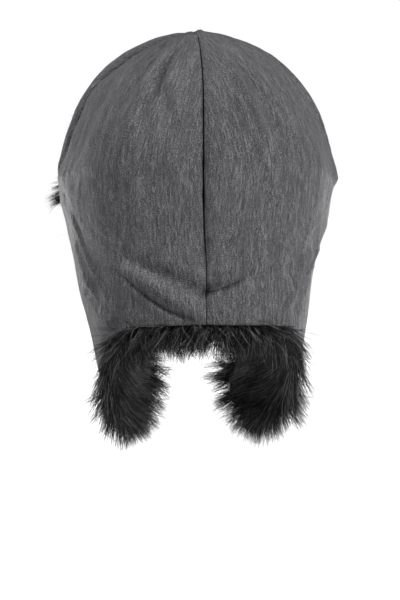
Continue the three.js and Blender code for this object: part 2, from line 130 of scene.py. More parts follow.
# Folds in the cloth. Each is a ridge (height > 0) or a valley (height < 0) of one width, along a line
# of places on the form: (azimuth, z, height).
FOLDS = (
    # The bulge over the neck and the sharp crease under it
    (5.6, (27, -200, 2.0), (20, -208, 3.4), (14, -215.5, 4.2), (4, -226.5, 2.8)),
    (1.5, (32, -200, -0.6), (27, -206.5, -2.0), (19, -219.5, -3.3), (13, -227, -3.1), (4, -234.5, -1.6)),
    (4.0, (24, -216, 0.9), (12, -233, 0.9)),
    # Where the crown's lower end is drawn in
    (4.2, (24, -195, -1.3), (20.5, -199, -2.3), (14.5, -203.5, -3.4), (8.5, -208, -3.6), (0, -215.5, -2.7)),
    (3.5, (-16, -203, -1.6), (-11.5, -207, -3.2), (-6, -211.5, -3.8), (0, -216, -2.6)),
    # From the left corner, and the side of the left flap
    (8.0, (66, -130, 1.4), (52, -150, 1.2)),
    (4.2, (70, -140, -0.8), (64, -147, -1.9), (56, -162, -2.1), (50, -182, -1.2)),
    (6.0, (63, -178, 1.8), (53, -187, 2.3), (47, -207, 2.0)),
    (4.0, (58, -196, -1.0), (50, -214, -1.2)),
    (3.0, (60, -209, 1.6), (48, -220, 2.4), (37, -236, 2.0)),
    (2.0, (66, -140, 0.8), (57.5, -163, 1.6), (51.5, -180, 1.9), (43.5, -200, 2.0), (37.5, -214, 1.8),
     (32, -232, 1.0)),
    (2.4, (56, -178, 1.0), (48.5, -206, 1.6), (41.5, -224, 1.4), (35, -233, 1.0)),
    # Side of the right flap
    (6.0, (-47, -188, 2.4), (-42, -199, 3.4), (-33, -216, 2.7)),
    (5.0, (-50, -200, -1.7), (-38, -226, -1.7)),
    (7.0, (-60, -165, 1.7), (-50, -200, 1.7)),
    (1.8, (-56, -182, 1.2), (-46.5, -196, 2.2), (-40, -206, 2.2), (-33, -221, 1.6), (-28, -233, 0.8)),
    (1.8, (-52, -196, 1.2), (-44, -208, 1.8), (-37, -221, 1.5)),
    (1.8, (-42, -171, 0.8), (-40, -194, 1.4), (-35.5, -208, 1.5), (-31, -225, 0.8)),
    # Gathers that run down from the apex, left
    (4.2, (11, -24, 2.4), (18, -52, 3.4), (24, -95, 2.2), (29, -140, 1.0)),
    (3.4, (17, -30, -1.4), (25, -58, -2.2), (30, -88, -1.4)),
    (2.4, (6.5, -37, 1.0), (11, -58, 1.9), (15, -80, 1.8), (19, -98, 1.0)),
    (2.2, (18.5, -44, 0.7), (22, -65, 1.1), (26.5, -92, 1.1), (28.5, -108, 0.6)),
    (2.4, (28.5, -52, 0.7), (32, -74, 1.0), (35, -96, 0.9), (37, -120, 0.5)),
    (4.5, (5, -26, 1.3), (10, -62, 1.4), (12, -92, 0.8)),
    (2.8, (12.5, -40, -1.7), (15.5, -62, -2.6), (17.5, -80, -2.4), (21, -98, -1.0)),
    (5.0, (15, -84, -1.6), (11, -110, -1.6)),
    (6.0, (30, -14, 1.6), (36, -60, 1.9), (44, -112, 1.4)),
    (4.0, (26, -22, -1.4), (31, -74, -1.4)),
    # And right
    (7.0, (-2.5, -50, 0.8), (-3.5, -100, 1.8), (-3.5, -165, 1.8), (-3.5, -200, 0.8)),
    (5.5, (-3, -12, 1.3), (-10, -60, 2.6), (-19, -116, 2.3), (-24, -150, 1.4)),
    (5.0, (-14, -50, -2.0), (-24, -106, -2.0)),
    (6.0, (-24, -16, 1.4), (-34, -62, 1.8), (-44, -120, 1.2)),
    (1.9, (-8.5, -60, -0.9), (-12, -80, -1.7), (-18, -112, -1.8), (-22, -128, -1.5), (-26, -146, -0.7)),
    (3.0, (-14, -48, -0.8), (-18, -66, -1.5), (-21, -84, -0.9)),
    (1.7, (-3, -110, -0.9), (-6.5, -120, -1.4), (-9.5, -130, -1.4), (-12, -144, -0.7)),
    (1.7, (-22.5, -98, -0.8), (-28.5, -107, -1.5), (-31.5, -116, -1.4), (-33.5, -132, -0.6)),
    (1.7, (-36, -66, -0.7), (-37.5, -83, -1.3), (-40, -94, -0.9)),
    # The corners, where the crown stands out over the curtain
    (9.0, (72, -120, 2.2), (73, -131, 2.4), (74, -142, 1.4)),
    (9.0, (-70, -104, 1.6), (-72, -122, 3.6)),
    (7.0, (-74, -134, -1.6), (-70, -146, -1.6)),
    # Front gores
    (8.0, (100, -60, 1.2), (104, -112, 1.2)),
    (8.0, (130, -40, 1.1), (124, -80, 1.1)),
    (8.0, (-104, -58, 1.2), (-100, -112, 1.2)),
    (8.0, (-134, -42, 1.0), (-126, -84, 1.0)),
    # Outside of the ear flaps
    (9.0, (96, -160, 1.5), (108, -230, 1.5)),
    (10.0, (84, -190, -1.2), (100, -262, -1.2)),
    (9.0, (112, -200, 1.4), (130, -280, 1.4)),
    (9.0, (-94, -158, 1.5), (-106, -226, 1.5)),
    (10.0, (-82, -186, -1.2), (-98, -258, -1.2)),
    (9.0, (-114, -205, 1.3), (-128, -276, 1.3)),
)

# Each seam's broad dip and its crack, in millimetres.
SEAM_DIPS = {"back": 0.0, "side": 0.5, "front": 1.0, "neck": 0.6, "base": 1.2}
SEAM_CRACKS = {"back": 0.8, "side": 4.8, "front": 1.5, "neck": 0.8, "base": 1.0}
SEAM_DIP_WIDTH = 7.0
SEAM_CRACK_WIDTH = 1.6
BACK_VALLEY = 2.4  # the back seam lies this deep in a valley with straight sides
BACK_VALLEY_WIDTHS = (2.6, 5.0)  # to the wearer's right and left
# How far the back seam wanders to the wearer's left, in millimetres.
WANDER = table(
    "z aside",
    (-240, -0.4),
    (-214, -1.8),
    (-188, -1.4),
    (-168, 0.4),
    (-150, 1.4),
    (-136, 2.0),
    (-110, 1.8),
    (-70, 1.4),
    (-25, 2.2),
    (3, 2.0),
)
# Beside each side seam, from the brow (share 0) to the apex: how far the back gore's shoulder, the
# seam itself and the crest of the front gore's roll stand outside the form.
SIDE_SHAPES = {
    "left": table(
        "share shoulder seam roll",
        (0, -2.5, -1, -0.8),
        (0.1, -5.0, -2.6, -0.4),
        (0.25, -7.5, -4.6, -0.4),
        (0.38, -8.5, -5.4, -1.4),
        (0.52, -7.6, -3.4, -1.2),
        (0.7, -8.2, -5.4, -0.4),
        (0.85, -6.4, -4.4, 0.6),
        (0.94, -3.6, -2.4, 2.2),
        (0.98, -1.0, -0.4, 2.4),
        (1, 0, 0, 0),
    ),
    "right": table(
        "share shoulder seam roll",
        (0, -2.0, 0, 0.4),
        (0.1, -4.0, -0.8, -0.2),
        (0.2, -6.0, -1.8, -1.8),
        (0.3, -7.0, -2.4, -0.6),
        (0.5, -7.2, -2.6, 0.2),
        (0.7, -5.0, -0.6, 1.6),
        (0.85, -2.4, 1.4, 1.8),
        (1, 0, 0, 0),
    ),
}
# Millimetres from the seam to the flattening's start, the shoulder, the seam, the roll and its end.
SIDE_PLACES = (-85, -35, 0, 13, 60)
PEAK = 5.0  # how far the gathered ends of the gores stand up at the apex
PEAK_WIDTH = 12.0
HOLLOW = (1.2, 33, 20)  # depth, place and width of the hollow round the peak
BASE_STEP = 1.0  # how far the crown's edge stands over the left curtain's
OVERHANG_START = (56, 70)  # azimuths between which it comes to stand over it
OVERHANG_EDGE = 0.6  # half the height in which it steps out
PUCKER = (0.5, 6.5, 11)  # height, length and reach of the puckers beside a seam
ARC_RADIUS = 100.0  # millimetres, which turns azimuths into lengths for the random waves
# Random waves in the cloth: height, width round the hat, length down it and the noise's seed.
WAVES = ((0.9, 34, 52, 5), (0.45, 13, 34, 7), (0.32, 5.2, 26, 11))
GATHERS = (1.0, 8.5, 40, 38)  # height, degrees across, length and reach of those under the apex
CLOTH_WALL = 1.1


def read(rows, key, x):
    """Every column of a table at x, each a smooth curve through the rows."""
    axis = rows[key]
    x = np.asarray(x, float)
    i = np.clip(np.searchsorted(axis, x), 1, len(axis) - 1)
    before, after = np.maximum(i - 2, 0), np.minimum(i + 1, len(axis) - 1)
    span = axis[i] - axis[i - 1]
    t = np.clip((x - axis[i - 1]) / span, 0, 1)
    found = {}
    for name, value in rows.items():
        rise = value[i] - value[i - 1]
        slope_in = span * (value[i] - value[before]) / (axis[i] - axis[before])
        slope_out = span * (value[after] - value[i - 1]) / (axis[after] - axis[i - 1])
        cubic = slope_in + slope_out - 2 * rise
        square = 3 * rise - 2 * slope_in - slope_out
        found[name] = value[i - 1] + t * (slope_in + t * (square + t * cubic))
    return found


# ---- The master form --------------------------------------------------------------------------


def section(z):
    """Half width, back and front depth, lean and middle of the form's section at each height."""
    below = read(SECTIONS, "z", np.minimum(z, BROW_Z))
    rise = np.clip((z - BROW_Z) / CROWN_HEIGHT, 0, 1)
    spread = (1 - rise**DOME_TOP) ** (1 / DOME_SIDE)
    on_crown = z > BROW_Z
    found = {k: np.where(on_crown, BROW[k] * spread, below[k]) for k in BROW}
    found["lean"] = np.where(on_crown, 0, below["lean"])
    found["middle"] = CROWN_LEAN * rise
    return found


def rounded_square(sine, cosine, half, depth):
    """Radius of a section with these half sizes, in the direction of a sine and cosine."""
    reach = (abs(sine) / half) ** SQUARENESS + (abs(cosine) / depth) ** SQUARENESS
    return reach ** (-1 / SQUARENESS)


def form(azimuth, z):
    """Points of the master form, in millimetres."""
    azimuth, z = np.broadcast_arrays(np.asarray(azimuth, float), np.asarray(z, float))
    at = section(z)
    sine, cosine = np.sin(azimuth * DEGREE), np.cos(azimuth * DEGREE)
    half = np.maximum(at["half"], 1e-6)
    depth = np.maximum(np.where(cosine > 0, at["back"], at["front"]), 1e-6)
    radius = rounded_square(sine, cosine, half, depth)
    return np.stack([radius * sine + at["lean"], radius * cosine + at["middle"], z], -1)


def unit(v):
    """Vectors brought to a length of 1."""
    return v / np.maximum(np.linalg.norm(v, axis=-1, keepdims=True), 1e-12)


def form_frame(azimuth, z):
    """Outward normal, way down the form, and way round it towards greater azimuth."""
    z = np.minimum(z, APEX_Z - 0.8)
    around = form(azimuth + 0.4, z) - form(azimuth - 0.4, z)
    down = form(azimuth, z - 0.5) - form(azimuth, z + 0.5)
    return unit(np.cross(around, down)), unit(down), unit(around)


def meridian_z(share):
    """Height at a share of the crown's meridian, 0 at the apex and 1 at the brow."""
    return BROW_Z + CROWN_HEIGHT * np.cos(share * math.pi / 2) ** (2 / DOME_TOP)


def side_seam_azimuth(z):
    """Azimuth of the left side seam, which the right one mirrors."""
    share = np.clip((z - BROW_Z) / CROWN_HEIGHT, 0, 1)
    return CORNER_AZIMUTH + (SIDE_SEAM_TOP_AZIMUTH - CORNER_AZIMUTH) * share


def base_seam_z(azimuth):
    """Height of the seam between the crown and the curtain. Its right corner is drawn up."""
    share = np.minimum(abs(azimuth) / CORNER_AZIMUTH, 1)
    drawn_up = RIGHT_CORNER_RISE * bell(azimuth + CORNER_AZIMUTH - 2, 13)
    return BACK_SEAM_Z + (BROW_Z - BACK_SEAM_Z) * share**BACK_SEAM_CURVE + drawn_up


def smooth(x, low, high):
    """0 up to low, 1 from high on, and an even rise between them."""
    t = np.clip((x - low) / (high - low), 0, 1)
    return t * t * (3 - 2 * t)


def bell(distance, width):
    """1 at no distance, falling off to 0 on both sides."""
    return np.exp(-((distance / width) ** 2))


NOISE_CELLS = 4096
LATTICE_X, LATTICE_Y = 73856093, 19349663  # primes that scatter the lattice over the cells


def noise(x, y, seed):
    """Smooth noise of x and y, from about -1 to 1, with features about 1 across."""
    angle = np.random.default_rng(seed).uniform(0, 2 * math.pi, NOISE_CELLS)
    ix, iy = np.floor(x).astype(np.int64), np.floor(y).astype(np.int64)
    fx, fy = x - ix, y - iy
    total = 0
    for dx in (0, 1):
        for dy in (0, 1):
            cell = ((ix + dx) * LATTICE_X ^ (iy + dy) * LATTICE_Y) % NOISE_CELLS
            slope = np.cos(angle[cell]) * (fx - dx) + np.sin(angle[cell]) * (fy - dy)
            wx, wy = 1 - abs(fx - dx), 1 - abs(fy - dy)
            total = total + slope * wx * wx * (3 - 2 * wx) * wy * wy * (3 - 2 * wy)
    return 1.6 * total


def wander(z):
    """Azimuth of the back seam."""
    return read(WANDER, "z", z)["aside"] / (np.maximum(section(z)["back"], 8) * DEGREE)


def seam_distances(azimuth, z):
    """Millimetres to each seam, with those that aren't at this height put far off."""
    scale = section(z)["back"] * DEGREE
    above = z > base_seam_z(azimuth) - 0.01
    far = 1e3
    back = abs(azimuth - wander(z)) * scale
    return {
        "back": np.where(above, back, far),
        "side": np.where(above, abs(abs(azimuth) - side_seam_azimuth(z)) * scale, far),
        "front": np.where(above, (180 - abs(azimuth)) * scale, far),
        "neck": np.where(above, far, back),
        "base": abs(z - base_seam_z(azimuth)),
    }


def fold_height(azimuth, z):
    """What the folds add to the form."""
    scale = section(z)["back"] * DEGREE
    height = np.zeros(np.broadcast(azimuth, z).shape)
    for width, *places in FOLDS:
        nearest, rise = np.inf, 0.0
        for (a0, z0, h0), (a1, z1, h1) in zip(places, places[1:]):
            step_a, step_z = (a1 - a0) * scale, z1 - z0
            from_a, from_z = (azimuth - a0) * scale, z - z0
            along = (from_a * step_a + from_z * step_z) / (step_a**2 + step_z**2)
            share = np.clip(along, 0, 1)
            distance = np.hypot(from_a - share * step_a, from_z - share * step_z)
            rise = np.where(distance < nearest, h0 + (h1 - h0) * share, rise)
            nearest = np.minimum(distance, nearest)
        height += rise * bell(nearest, width)
    return height


def seam_height(azimuth, z):
    """What the seams add to the form: dips, cracks, their puckers and the crown's overhang."""
    distances = seam_distances(azimuth, z)
    rise, length, reach = PUCKER
    valley_width = np.where(azimuth < wander(z), *BACK_VALLEY_WIDTHS)
    height = -BACK_VALLEY * smooth(-z, 35, 85) * np.exp(-distances["back"] / valley_width)
    # The base seam is drawn in at the back seam's foot and at the corners, less at the right one.
    base_strength = np.maximum(bell(azimuth, 12), 0.9 * smooth(azimuth, 64, 76))
    base_strength = np.maximum(base_strength, 0.3 * smooth(-azimuth, 70, 80))
    for seam, distance in distances.items():
        strength = base_strength if seam == "base" else 1.0
        height -= SEAM_DIPS[seam] * strength * bell(distance, SEAM_DIP_WIDTH)
        height -= SEAM_CRACKS[seam] * strength * bell(distance, SEAM_CRACK_WIDTH)
        along = azimuth * 2 if seam == "base" else z
        puckers = noise(along / length, distance / 16, 3) * bell(distance, reach)
        height += rise * strength * puckers
    above = z - base_seam_z(azimuth)
    overhang = smooth(above, -OVERHANG_EDGE, OVERHANG_EDGE) * np.exp(-np.maximum(above, 0) / 12)
    height += BASE_STEP * overhang * smooth(azimuth, *OVERHANG_START)
    return height


def side_height(azimuth, z):
    """What lies beside the side seams: the back gore drawn flat, and the front gore's roll."""
    share = np.clip((z - BROW_Z) / CROWN_HEIGHT, 0, 1)
    half = section(z)["back"]
    # The shape narrows towards the apex, though less than the gores do.
    narrowing = 0.35 + 0.65 * half / BROW["back"]
    beyond = (abs(azimuth) - side_seam_azimuth(z)) * half * DEGREE / narrowing
    start, shoulder, seam, roll, end = SIDE_PLACES
    falling = smooth(beyond, start, shoulder)
    to_seam = np.clip((beyond - shoulder) / (seam - shoulder), 0, 1) ** 2
    to_roll = 1 - np.clip((roll - beyond) / (roll - seam), 0, 1) ** 2
    leaving = smooth(beyond, roll, end)
    height = 0
    for side, sign in SIDES.items():
        at = read(SIDE_SHAPES[side], "share", share)
        across = at["shoulder"] * falling + (at["seam"] - at["shoulder"]) * to_seam
        across += (at["roll"] - at["seam"]) * to_roll - at["roll"] * leaving
        height = height + np.where(azimuth * sign > 0, across, 0)
    return height * bell(np.maximum(BROW_Z - z, 0), 18)


def relief(azimuth, z):
    """How far the cloth stands outside the master form, in millimetres."""
    arc = azimuth * DEGREE * ARC_RADIUS
    height = seam_height(azimuth, z) + side_height(azimuth, z)
    below_apex = APEX_Z - z
    height = height + fold_height(azimuth, z) * smooth(below_apex, 3, 22)
    for rise, width, length, seed in WAVES:
        height += rise * noise(arc / width, z / length, seed)
    rise, width, length, reach = GATHERS
    gathers = noise(azimuth / width, below_apex / length + 0.5, 13) * np.exp(-below_apex / reach)
    height += rise * gathers * smooth(below_apex, 4, 20)
    from_apex = section(z)["half"]
    depth, place, width = HOLLOW
    return height + PEAK * np.exp(-from_apex / PEAK_WIDTH) - depth * bell(from_apex - place, width)


# ---- Meshes -----------------------------------------------------------------------------------


def collection():
    """Where every object of the scene is linked."""
    return bpy.context.scene.collection


def mesh_from(bm, name, flat=None):
    """Ends a bmesh as a mesh, smooth and with a cut where flat is given. flat gives a vertex's place on
    the cut, in metres.
    """
    if flat:
        layer = bm.loops.layers.uv.new("cut")
        for face in bm.faces:
            face.smooth = True
            for corner in face.loops:
                corner[layer].uv = flat(corner.vert)
    mesh = bpy.data.meshes.new(name)
    bm.to_mesh(mesh)
    bm.free()
    return mesh


def finish_piece(name, mesh, finish, node_name):
    """Links a mesh whose place is in its vertices, gives it its finish, hangs it on the body and hides
    the frame's part that it stands in for.
    """
    piece = bpy.data.objects.new(name, mesh)
    collection().objects.link(piece)
    mesh.materials.append(finish)
    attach(piece, BODY)
    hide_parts(node_name)
    return piece


EDGE_CELL = 0.004  # share of a patch in the narrow cell beside each edge, which keeps the bend crisp


def turned_stations(count, before, after, crowded=0.0):
    """Shares across a patch, with the cloth turned in beyond its ends: (share, turned) arrays.

    crowded says how much closer the stations lie near the ends, 0 for evenly.
    """
    even = np.linspace(0, 1, count - 1)
    spaced = even - crowded * np.sin(2 * math.pi * even) / (2 * math.pi)
    inner = [0, *(EDGE_CELL + (1 - 2 * EDGE_CELL) * spaced), 1]
    share = np.concatenate([np.zeros(len(before)), inner, np.ones(len(after))])
    turned = np.concatenate([-np.array(before[::-1]), np.zeros(count + 1), np.array(after)])
    return share, turned


def patch(name, columns, rows, place):
    """A sheet of cloth from create_grid, bent to place(u, v, turned_u, turned_v).

    columns and rows are (share, turned) arrays. place gives the point, the normal and the cut's flat
    coordinates for each grid vertex.
    """
    nu, nv = len(columns[0]), len(rows[0])
    bm = bmesh.new()
    bmesh.ops.create_grid(bm, x_segments=nu - 1, y_segments=nv - 1, size=0.5)
    bm.verts.ensure_lookup_table()
    flat = np.array([v.co[:2] for v in bm.verts]) + 0.5
    i = np.rint(flat[:, 0] * (nu - 1)).astype(int)
    j = np.rint(flat[:, 1] * (nv - 1)).astype(int)
    points, normals, cut = place(columns[0][i], rows[0][j], columns[1][i], rows[1][j])
    for vertex, point in zip(bm.verts, points * MM):
        vertex.co = point
    bm.normal_update()
    bm.faces.ensure_lookup_table()
    middle = bm.faces[len(bm.faces) // 2]
    if middle.normal.dot(Vector(normals[middle.verts[0].index])) < 0:
        bmesh.ops.reverse_faces(bm, faces=bm.faces[:])
    return mesh_from(bm, name, lambda vertex: cut[vertex.index] * MM)


# Millimetres of cloth turned in beyond a seam and beyond a hem, row by row.
SEAM_TURN = (1.2, 3.0, 5.0)
HEM_TURN = (0.9, 1.9, 2.9, 3.9, 5.0, 7.5, 11.0)
HEM_ROLL = 1.6  # radius of a hem's rolled edge


def sunk(points, normals, outward_u, outward_v, turned_u, turned_v, rolled):
    """Takes the turned cloth beyond an edge inwards: straight in at a seam, rolled over at a hem.

    rolled is a pair of flags, for columns and rows.
    """
    for turned, outward, roll in ((turned_u, outward_u, rolled[0]), (turned_v, outward_v, rolled[1])):
        length = abs(turned)[:, None]
        if roll:
            angle = np.minimum(length / HEM_ROLL, math.pi)
            beyond = HEM_ROLL * np.sin(angle)
            back = np.maximum(length - HEM_ROLL * math.pi, 0)
            points = points + outward * (beyond - back) - normals * HEM_ROLL * (1 - np.cos(angle))
        else:
            points = points - normals * length
    return points


def solid_cloth(piece):
    wall = piece.modifiers.new("wall", "SOLIDIFY")
    wall.thickness = bpy.context.scene.ushanka_cloth.wall
    wall.offset = -1
    wall.use_even_offset = False


# ---- Settings ---------------------------------------------------------------------------------


def colour(code):
    """A hex sRGB colour as linear red, green and blue."""
    values = [int(code[i : i + 2], 16) / 255 for i in (1, 3, 5)]
    return tuple(v / 12.92 if v <= 0.04045 else ((v + 0.055) / 1.055) ** 2.4 for v in values)


class UshankaCloth(bpy.types.PropertyGroup):
    """Sizes and colours of the nylon."""

    wall: FloatProperty(
        name="Wall",
        description="Thickness of the cloth with its backing",
        default=CLOTH_WALL * MM,
        unit="LENGTH",
    )
    face: FloatVectorProperty(
        name="Face",
        description="Colour of the cloth where it lies flat",
        default=colour("#545456"),
        subtype="COLOR",
        size=3,
    )
    # Painted highlight: the ridges are painted paler than the face, for the light that the crinkle's ridges
    # catch.
    ridge_highlight: FloatVectorProperty(
        name="Ridge",
        description="Colour of the crinkle's highlighted ridges",
        default=colour("#757578"),
        subtype="COLOR",
        size=3,
    )
    # Painted shade: the colour between the ridges is painted darker, for the shade in the crinkle's
    # hollows.
    hollow_shade: FloatVectorProperty(
        name="Hollow",
        description="Colour between the crinkle's ridges",
        default=colour("#37373a"),
        subtype="COLOR",
        size=3,
    )
    crinkle_width: FloatProperty(
        name="Crinkle width",
        description="Width of one crinkle across the cloth's grain",
        default=1.1 * MM,
        unit="LENGTH",
    )
    crinkle_length: FloatProperty(
        name="Crinkle length",
        description="Length of one crinkle along the cloth's grain",
        default=8 * MM,
        unit="LENGTH",
    )


class UshankaPile(bpy.types.PropertyGroup):
    """Sizes and colours of the faux fur."""

    length: FloatProperty(
        name="Length",
        description="Length of the pile's hairs",
        default=37 * MM,
        unit="LENGTH",
    )
    hair_radius: FloatProperty(
        name="Hair radius",
        description="Radius of a lock of hairs at its root",
        default=0.26 * MM,
        unit="LENGTH",
    )
    flap_hairs: IntProperty(
        name="Flap hairs",
        description="Locks of hair on one ear flap",
        default=11800,
    )
    neck_hairs: IntProperty(
        name="Neck hairs",
        description="Locks of hair on the neck flap",
        default=10200,
    )
    visor_hairs: IntProperty(
        name="Visor hairs",
        description="Locks of hair on the visor",
        default=9200,
    )
    dark: FloatVectorProperty(
        name="Dark",
        description="Colour of the darkest hairs",
        default=colour("#040404"),
        subtype="COLOR",
        size=3,
    )
    # Painted highlight: the colour of the hairs that are painted pale for the glints along glossy strands.
    light: FloatVectorProperty(
        name="Light",
        description="Colour of the palest hairs",
        default=colour("#a3a2a3"),
        subtype="COLOR",
        size=3,
    )


# ---- Materials --------------------------------------------------------------------------------


def node(tree, kind, links=None, values=None, stops=(), **settings):
    """Adds a shader node with its settings, socket values and incoming links.

    stops are a colour ramp's (position, linear colour) pairs.
    """
    made = tree.nodes.new("ShaderNode" + kind)
    for name, value in settings.items():
        setattr(made, name, value)
    for socket, value in (values or {}).items():
        made.inputs[socket].default_value = value
    for socket, source in (links or {}).items():
        tree.links.new(source, made.inputs[socket])
    if stops:
        elements = made.color_ramp.elements
        while len(elements) < len(stops):
            elements.new(0.5)
        for element, (position, rgb) in zip(elements, stops):
            element.position = position
            element.color = (*rgb, 1)
    return made


def new_material(name):
    """A material with no nodes yet, and its node tree."""
    material = bpy.data.materials.new(name)
    material.use_nodes = True
    material.node_tree.nodes.clear()
    return material, material.node_tree


def streaks(tree, cut, width, length, detail, distortion):
    """Noise on the flat cut, in streaks of a width and a length."""
    placed = node(tree, "Mapping", {"Vector": cut.outputs["UV"]}, {"Scale": (1 / width, 1 / length, 1)})
    values = {"Scale": 1.0, "Detail": detail, "Roughness": 0.6, "Distortion": distortion}
    found = node(tree, "TexNoise", {"Vector": placed.outputs["Vector"]}, values, noise_dimensions="2D")
    return found.outputs["Fac"]


def crinkled_nylon():
    """Plain-woven nylon taffeta, heat-set in a crinkle. It gives the eye short vertical streaks on a dull
    grey with a soft bloom at grazing angles; the crinkle's ridges carry a painted highlight and its hollows
    painted shade."""
    look = bpy.context.scene.ushanka_cloth
    material, tree = new_material("crinkled_nylon_taffeta")
    cut = node(tree, "UVMap", uv_map="cut")
    fine = streaks(tree, cut, look.crinkle_width, look.crinkle_length, 2.0, 1.5)
    long = streaks(tree, cut, look.crinkle_width * 1.8, look.crinkle_length * 2.6, 2.0, 1.9)
    broad = streaks(tree, cut, 8 * MM, 30 * MM, 2.0, 0.4)
    creases = streaks(tree, cut, 7 * MM, 50 * MM, 2.0, 1.3)
    # Thread spacing is about 0.2 mm; the weave is drawn at 0.85 mm, about the least that shows.
    weave = streaks(tree, cut, 0.85 * MM, 0.8 * MM, 1.0, 0.0)
    # The sharp creases run where this noise crosses its middle value; each is raised by the bump and
    # painted paler along its length, a painted highlight.
    centred = node(tree, "Math", {0: creases}, {1: 0.5}, operation="SUBTRACT")
    off_line = node(tree, "Math", {0: centred.outputs[0]}, operation="ABSOLUTE")
    values = {"From Max": 0.045, "To Min": 1, "To Max": 0}
    crease_and_highlight = node(tree, "MapRange", {"Value": off_line.outputs[0]}, values).outputs["Result"]
    # The streaks' mix sets the colour, partly the crinkle's own uneven tone and partly painted light: the
    # same streaks raise the bumps below, so raised places are painted paler as a painted highlight and low
    # places darker as painted shade.
    shares = ((fine, 0.3), (long, 0.18), (weave, 0.4), (broad, 0.08), (crease_and_highlight, 0.075))
    tone = None
    for source, share in shares:
        part = node(tree, "Math", {0: source}, {1: share}, operation="MULTIPLY").outputs[0]
        tone = part if tone is None else node(tree, "Math", {0: tone, 1: part}).outputs[0]
    stops = ((0.42, look.hollow_shade), (0.51, look.face), (0.61, look.ridge_highlight))
    base = node(tree, "ValToRGB", {"Fac": tone}, stops=stops)
    bump = node(tree, "Bump", {"Height": weave}, {"Strength": 0.5, "Distance": 0.2 * MM})
    for height, depth in ((crease_and_highlight, 0.35 * MM), (fine, 0.5 * MM), (long, 0.75 * MM), (broad, 1.3 * MM)):
        links = {"Height": height, "Normal": bump.outputs["Normal"]}
        bump = node(tree, "Bump", links, {"Strength": 0.9, "Distance": depth})
    values = {"Roughness": 0.62, "IOR": 1.53, "Specular IOR Level": 0.22}
    values.update({"Sheen Weight": 0.03, "Sheen Roughness": 0.5})
    links = {"Base Color": base.outputs["Color"], "Normal": bump.outputs["Normal"]}
    shader = node(tree, "BsdfPrincipled", links, values)
    node(tree, "OutputMaterial", {"Surface": shader.outputs[0]})
    return material


def knitted_pile():
    """Modacrylic hair on a knitted ground, brushed out. It gives the eye near-black locks, some painted
    grey along their length as a painted highlight, and each painted darker towards its root, painted shade
    where the hairs crowd."""
    look = bpy.context.scene.ushanka_pile
    material, tree = new_material("brushed_modacrylic_pile")
    tone = node(tree, "Attribute", attribute_name="tone")
    stops = ((0.0, look.dark), (1.0, look.light))
    base = node(tree, "ValToRGB", {"Fac": tone.outputs["Fac"]}, stops=stops)
    values = {"Roughness": 0.35, "IOR": 1.5, "Specular IOR Level": 0.14}
    links = {"Base Color": base.outputs["Color"]}
    shader = node(tree, "BsdfPrincipled", links, values)
    node(tree, "OutputMaterial", {"Surface": shader.outputs[0]})
    return material


def pile_ground():
    """The short dense underhair next to the knitted ground. It gives the eye a black depth with the run of
    the locks in it: its own black deepened with painted shade, blacker than the hairs and darkest between
    the locks."""
    look = bpy.context.scene.ushanka_pile
    material, tree = new_material("dense_modacrylic_underhair")
    locks = streaks(tree, node(tree, "UVMap", uv_map="cut"), 1.1 * MM, 14 * MM, 3.0, 1.2)
    # Painted shade: the underhair is painted blacker than the darkest hairs, darkest between the locks.
    stops = ((0.4, colour("#010101")), (0.7, look.dark))
    base = node(tree, "ValToRGB", {"Fac": locks}, stops=stops)
    bump = node(tree, "Bump", {"Height": locks}, {"Strength": 1.0, "Distance": 1.5 * MM})
    values = {"Roughness": 0.7, "IOR": 1.5, "Specular IOR Level": 0.2}
    links = {"Base Color": base.outputs["Color"], "Normal": bump.outputs["Normal"]}
    shader = node(tree, "BsdfPrincipled", links, values)
    node(tree, "OutputMaterial", {"Surface": shader.outputs[0]})
    return material


def material(make):
    """The one material that a function makes, made once."""
    key = "ushanka_" + make.__name__
    found = next((m for m in bpy.data.materials if m.get(key)), None)
    if found is None:
        found = make()
        found[key] = True
    return found


# ---- Crown ------------------------------------------------------------------------------------

BELOW_BROW_MERIDIAN = 150.0  # millimetres below the brow that count as one more meridian
TIP_OPENING = 0.02  # share of the meridian left open under the tip
TIP_RISE = 4.4  # how far the tip stands above the form's apex
TIP_RADIUS = 3.4
TIP_TO_RIGHT = 3.6
TIP_PLEATS = 7
# The tip's outline from its foot up: share of its radius and height.
TIP_RINGS = ((0.4, -2.4), (0.8, -2.0), (1.0, -0.9), (0.97, 0.0), (0.72, 0.8), (0.36, 1.1))
# Half the width of each slit between two pieces of cloth, in millimetres.
SEAM_SLITS = {"back": 0.48, "side_left": 1.35, "side_right": 0.6, "front": 0.2, "neck": 0.2}
BASE_LAP = (0.75, 0.8)  # millimetres of the back gore that lap over the curtain, row by row
# Where the back seam gapes.
NOTCHES = table("z half_length opening", (-131, 4, 0.75), (-153, 6, 0.7))
GRAIN_FAN = 0.45  # share of the grain that fans out from the apex, the rest running parallel
GORE_LENGTH = 185.0  # millimetres of cloth down a gore
LAP_LIFT = 0.18  # how far the lapped edge is lifted off the curtain
SLIT_CLOSING = 1.15  # how far the turned-in edges close a slit, as a share of its half width
# Each kind of gore: its grid across and down, and its cut's size and area in metres.
GORES = {
    "back": (104, 128, (0.15, 0.27), 0.022),
    "front": (54, 66, (0.21, 0.19), 0.0275),
}
GORE_CROWDING = 0.55  # towards the seams


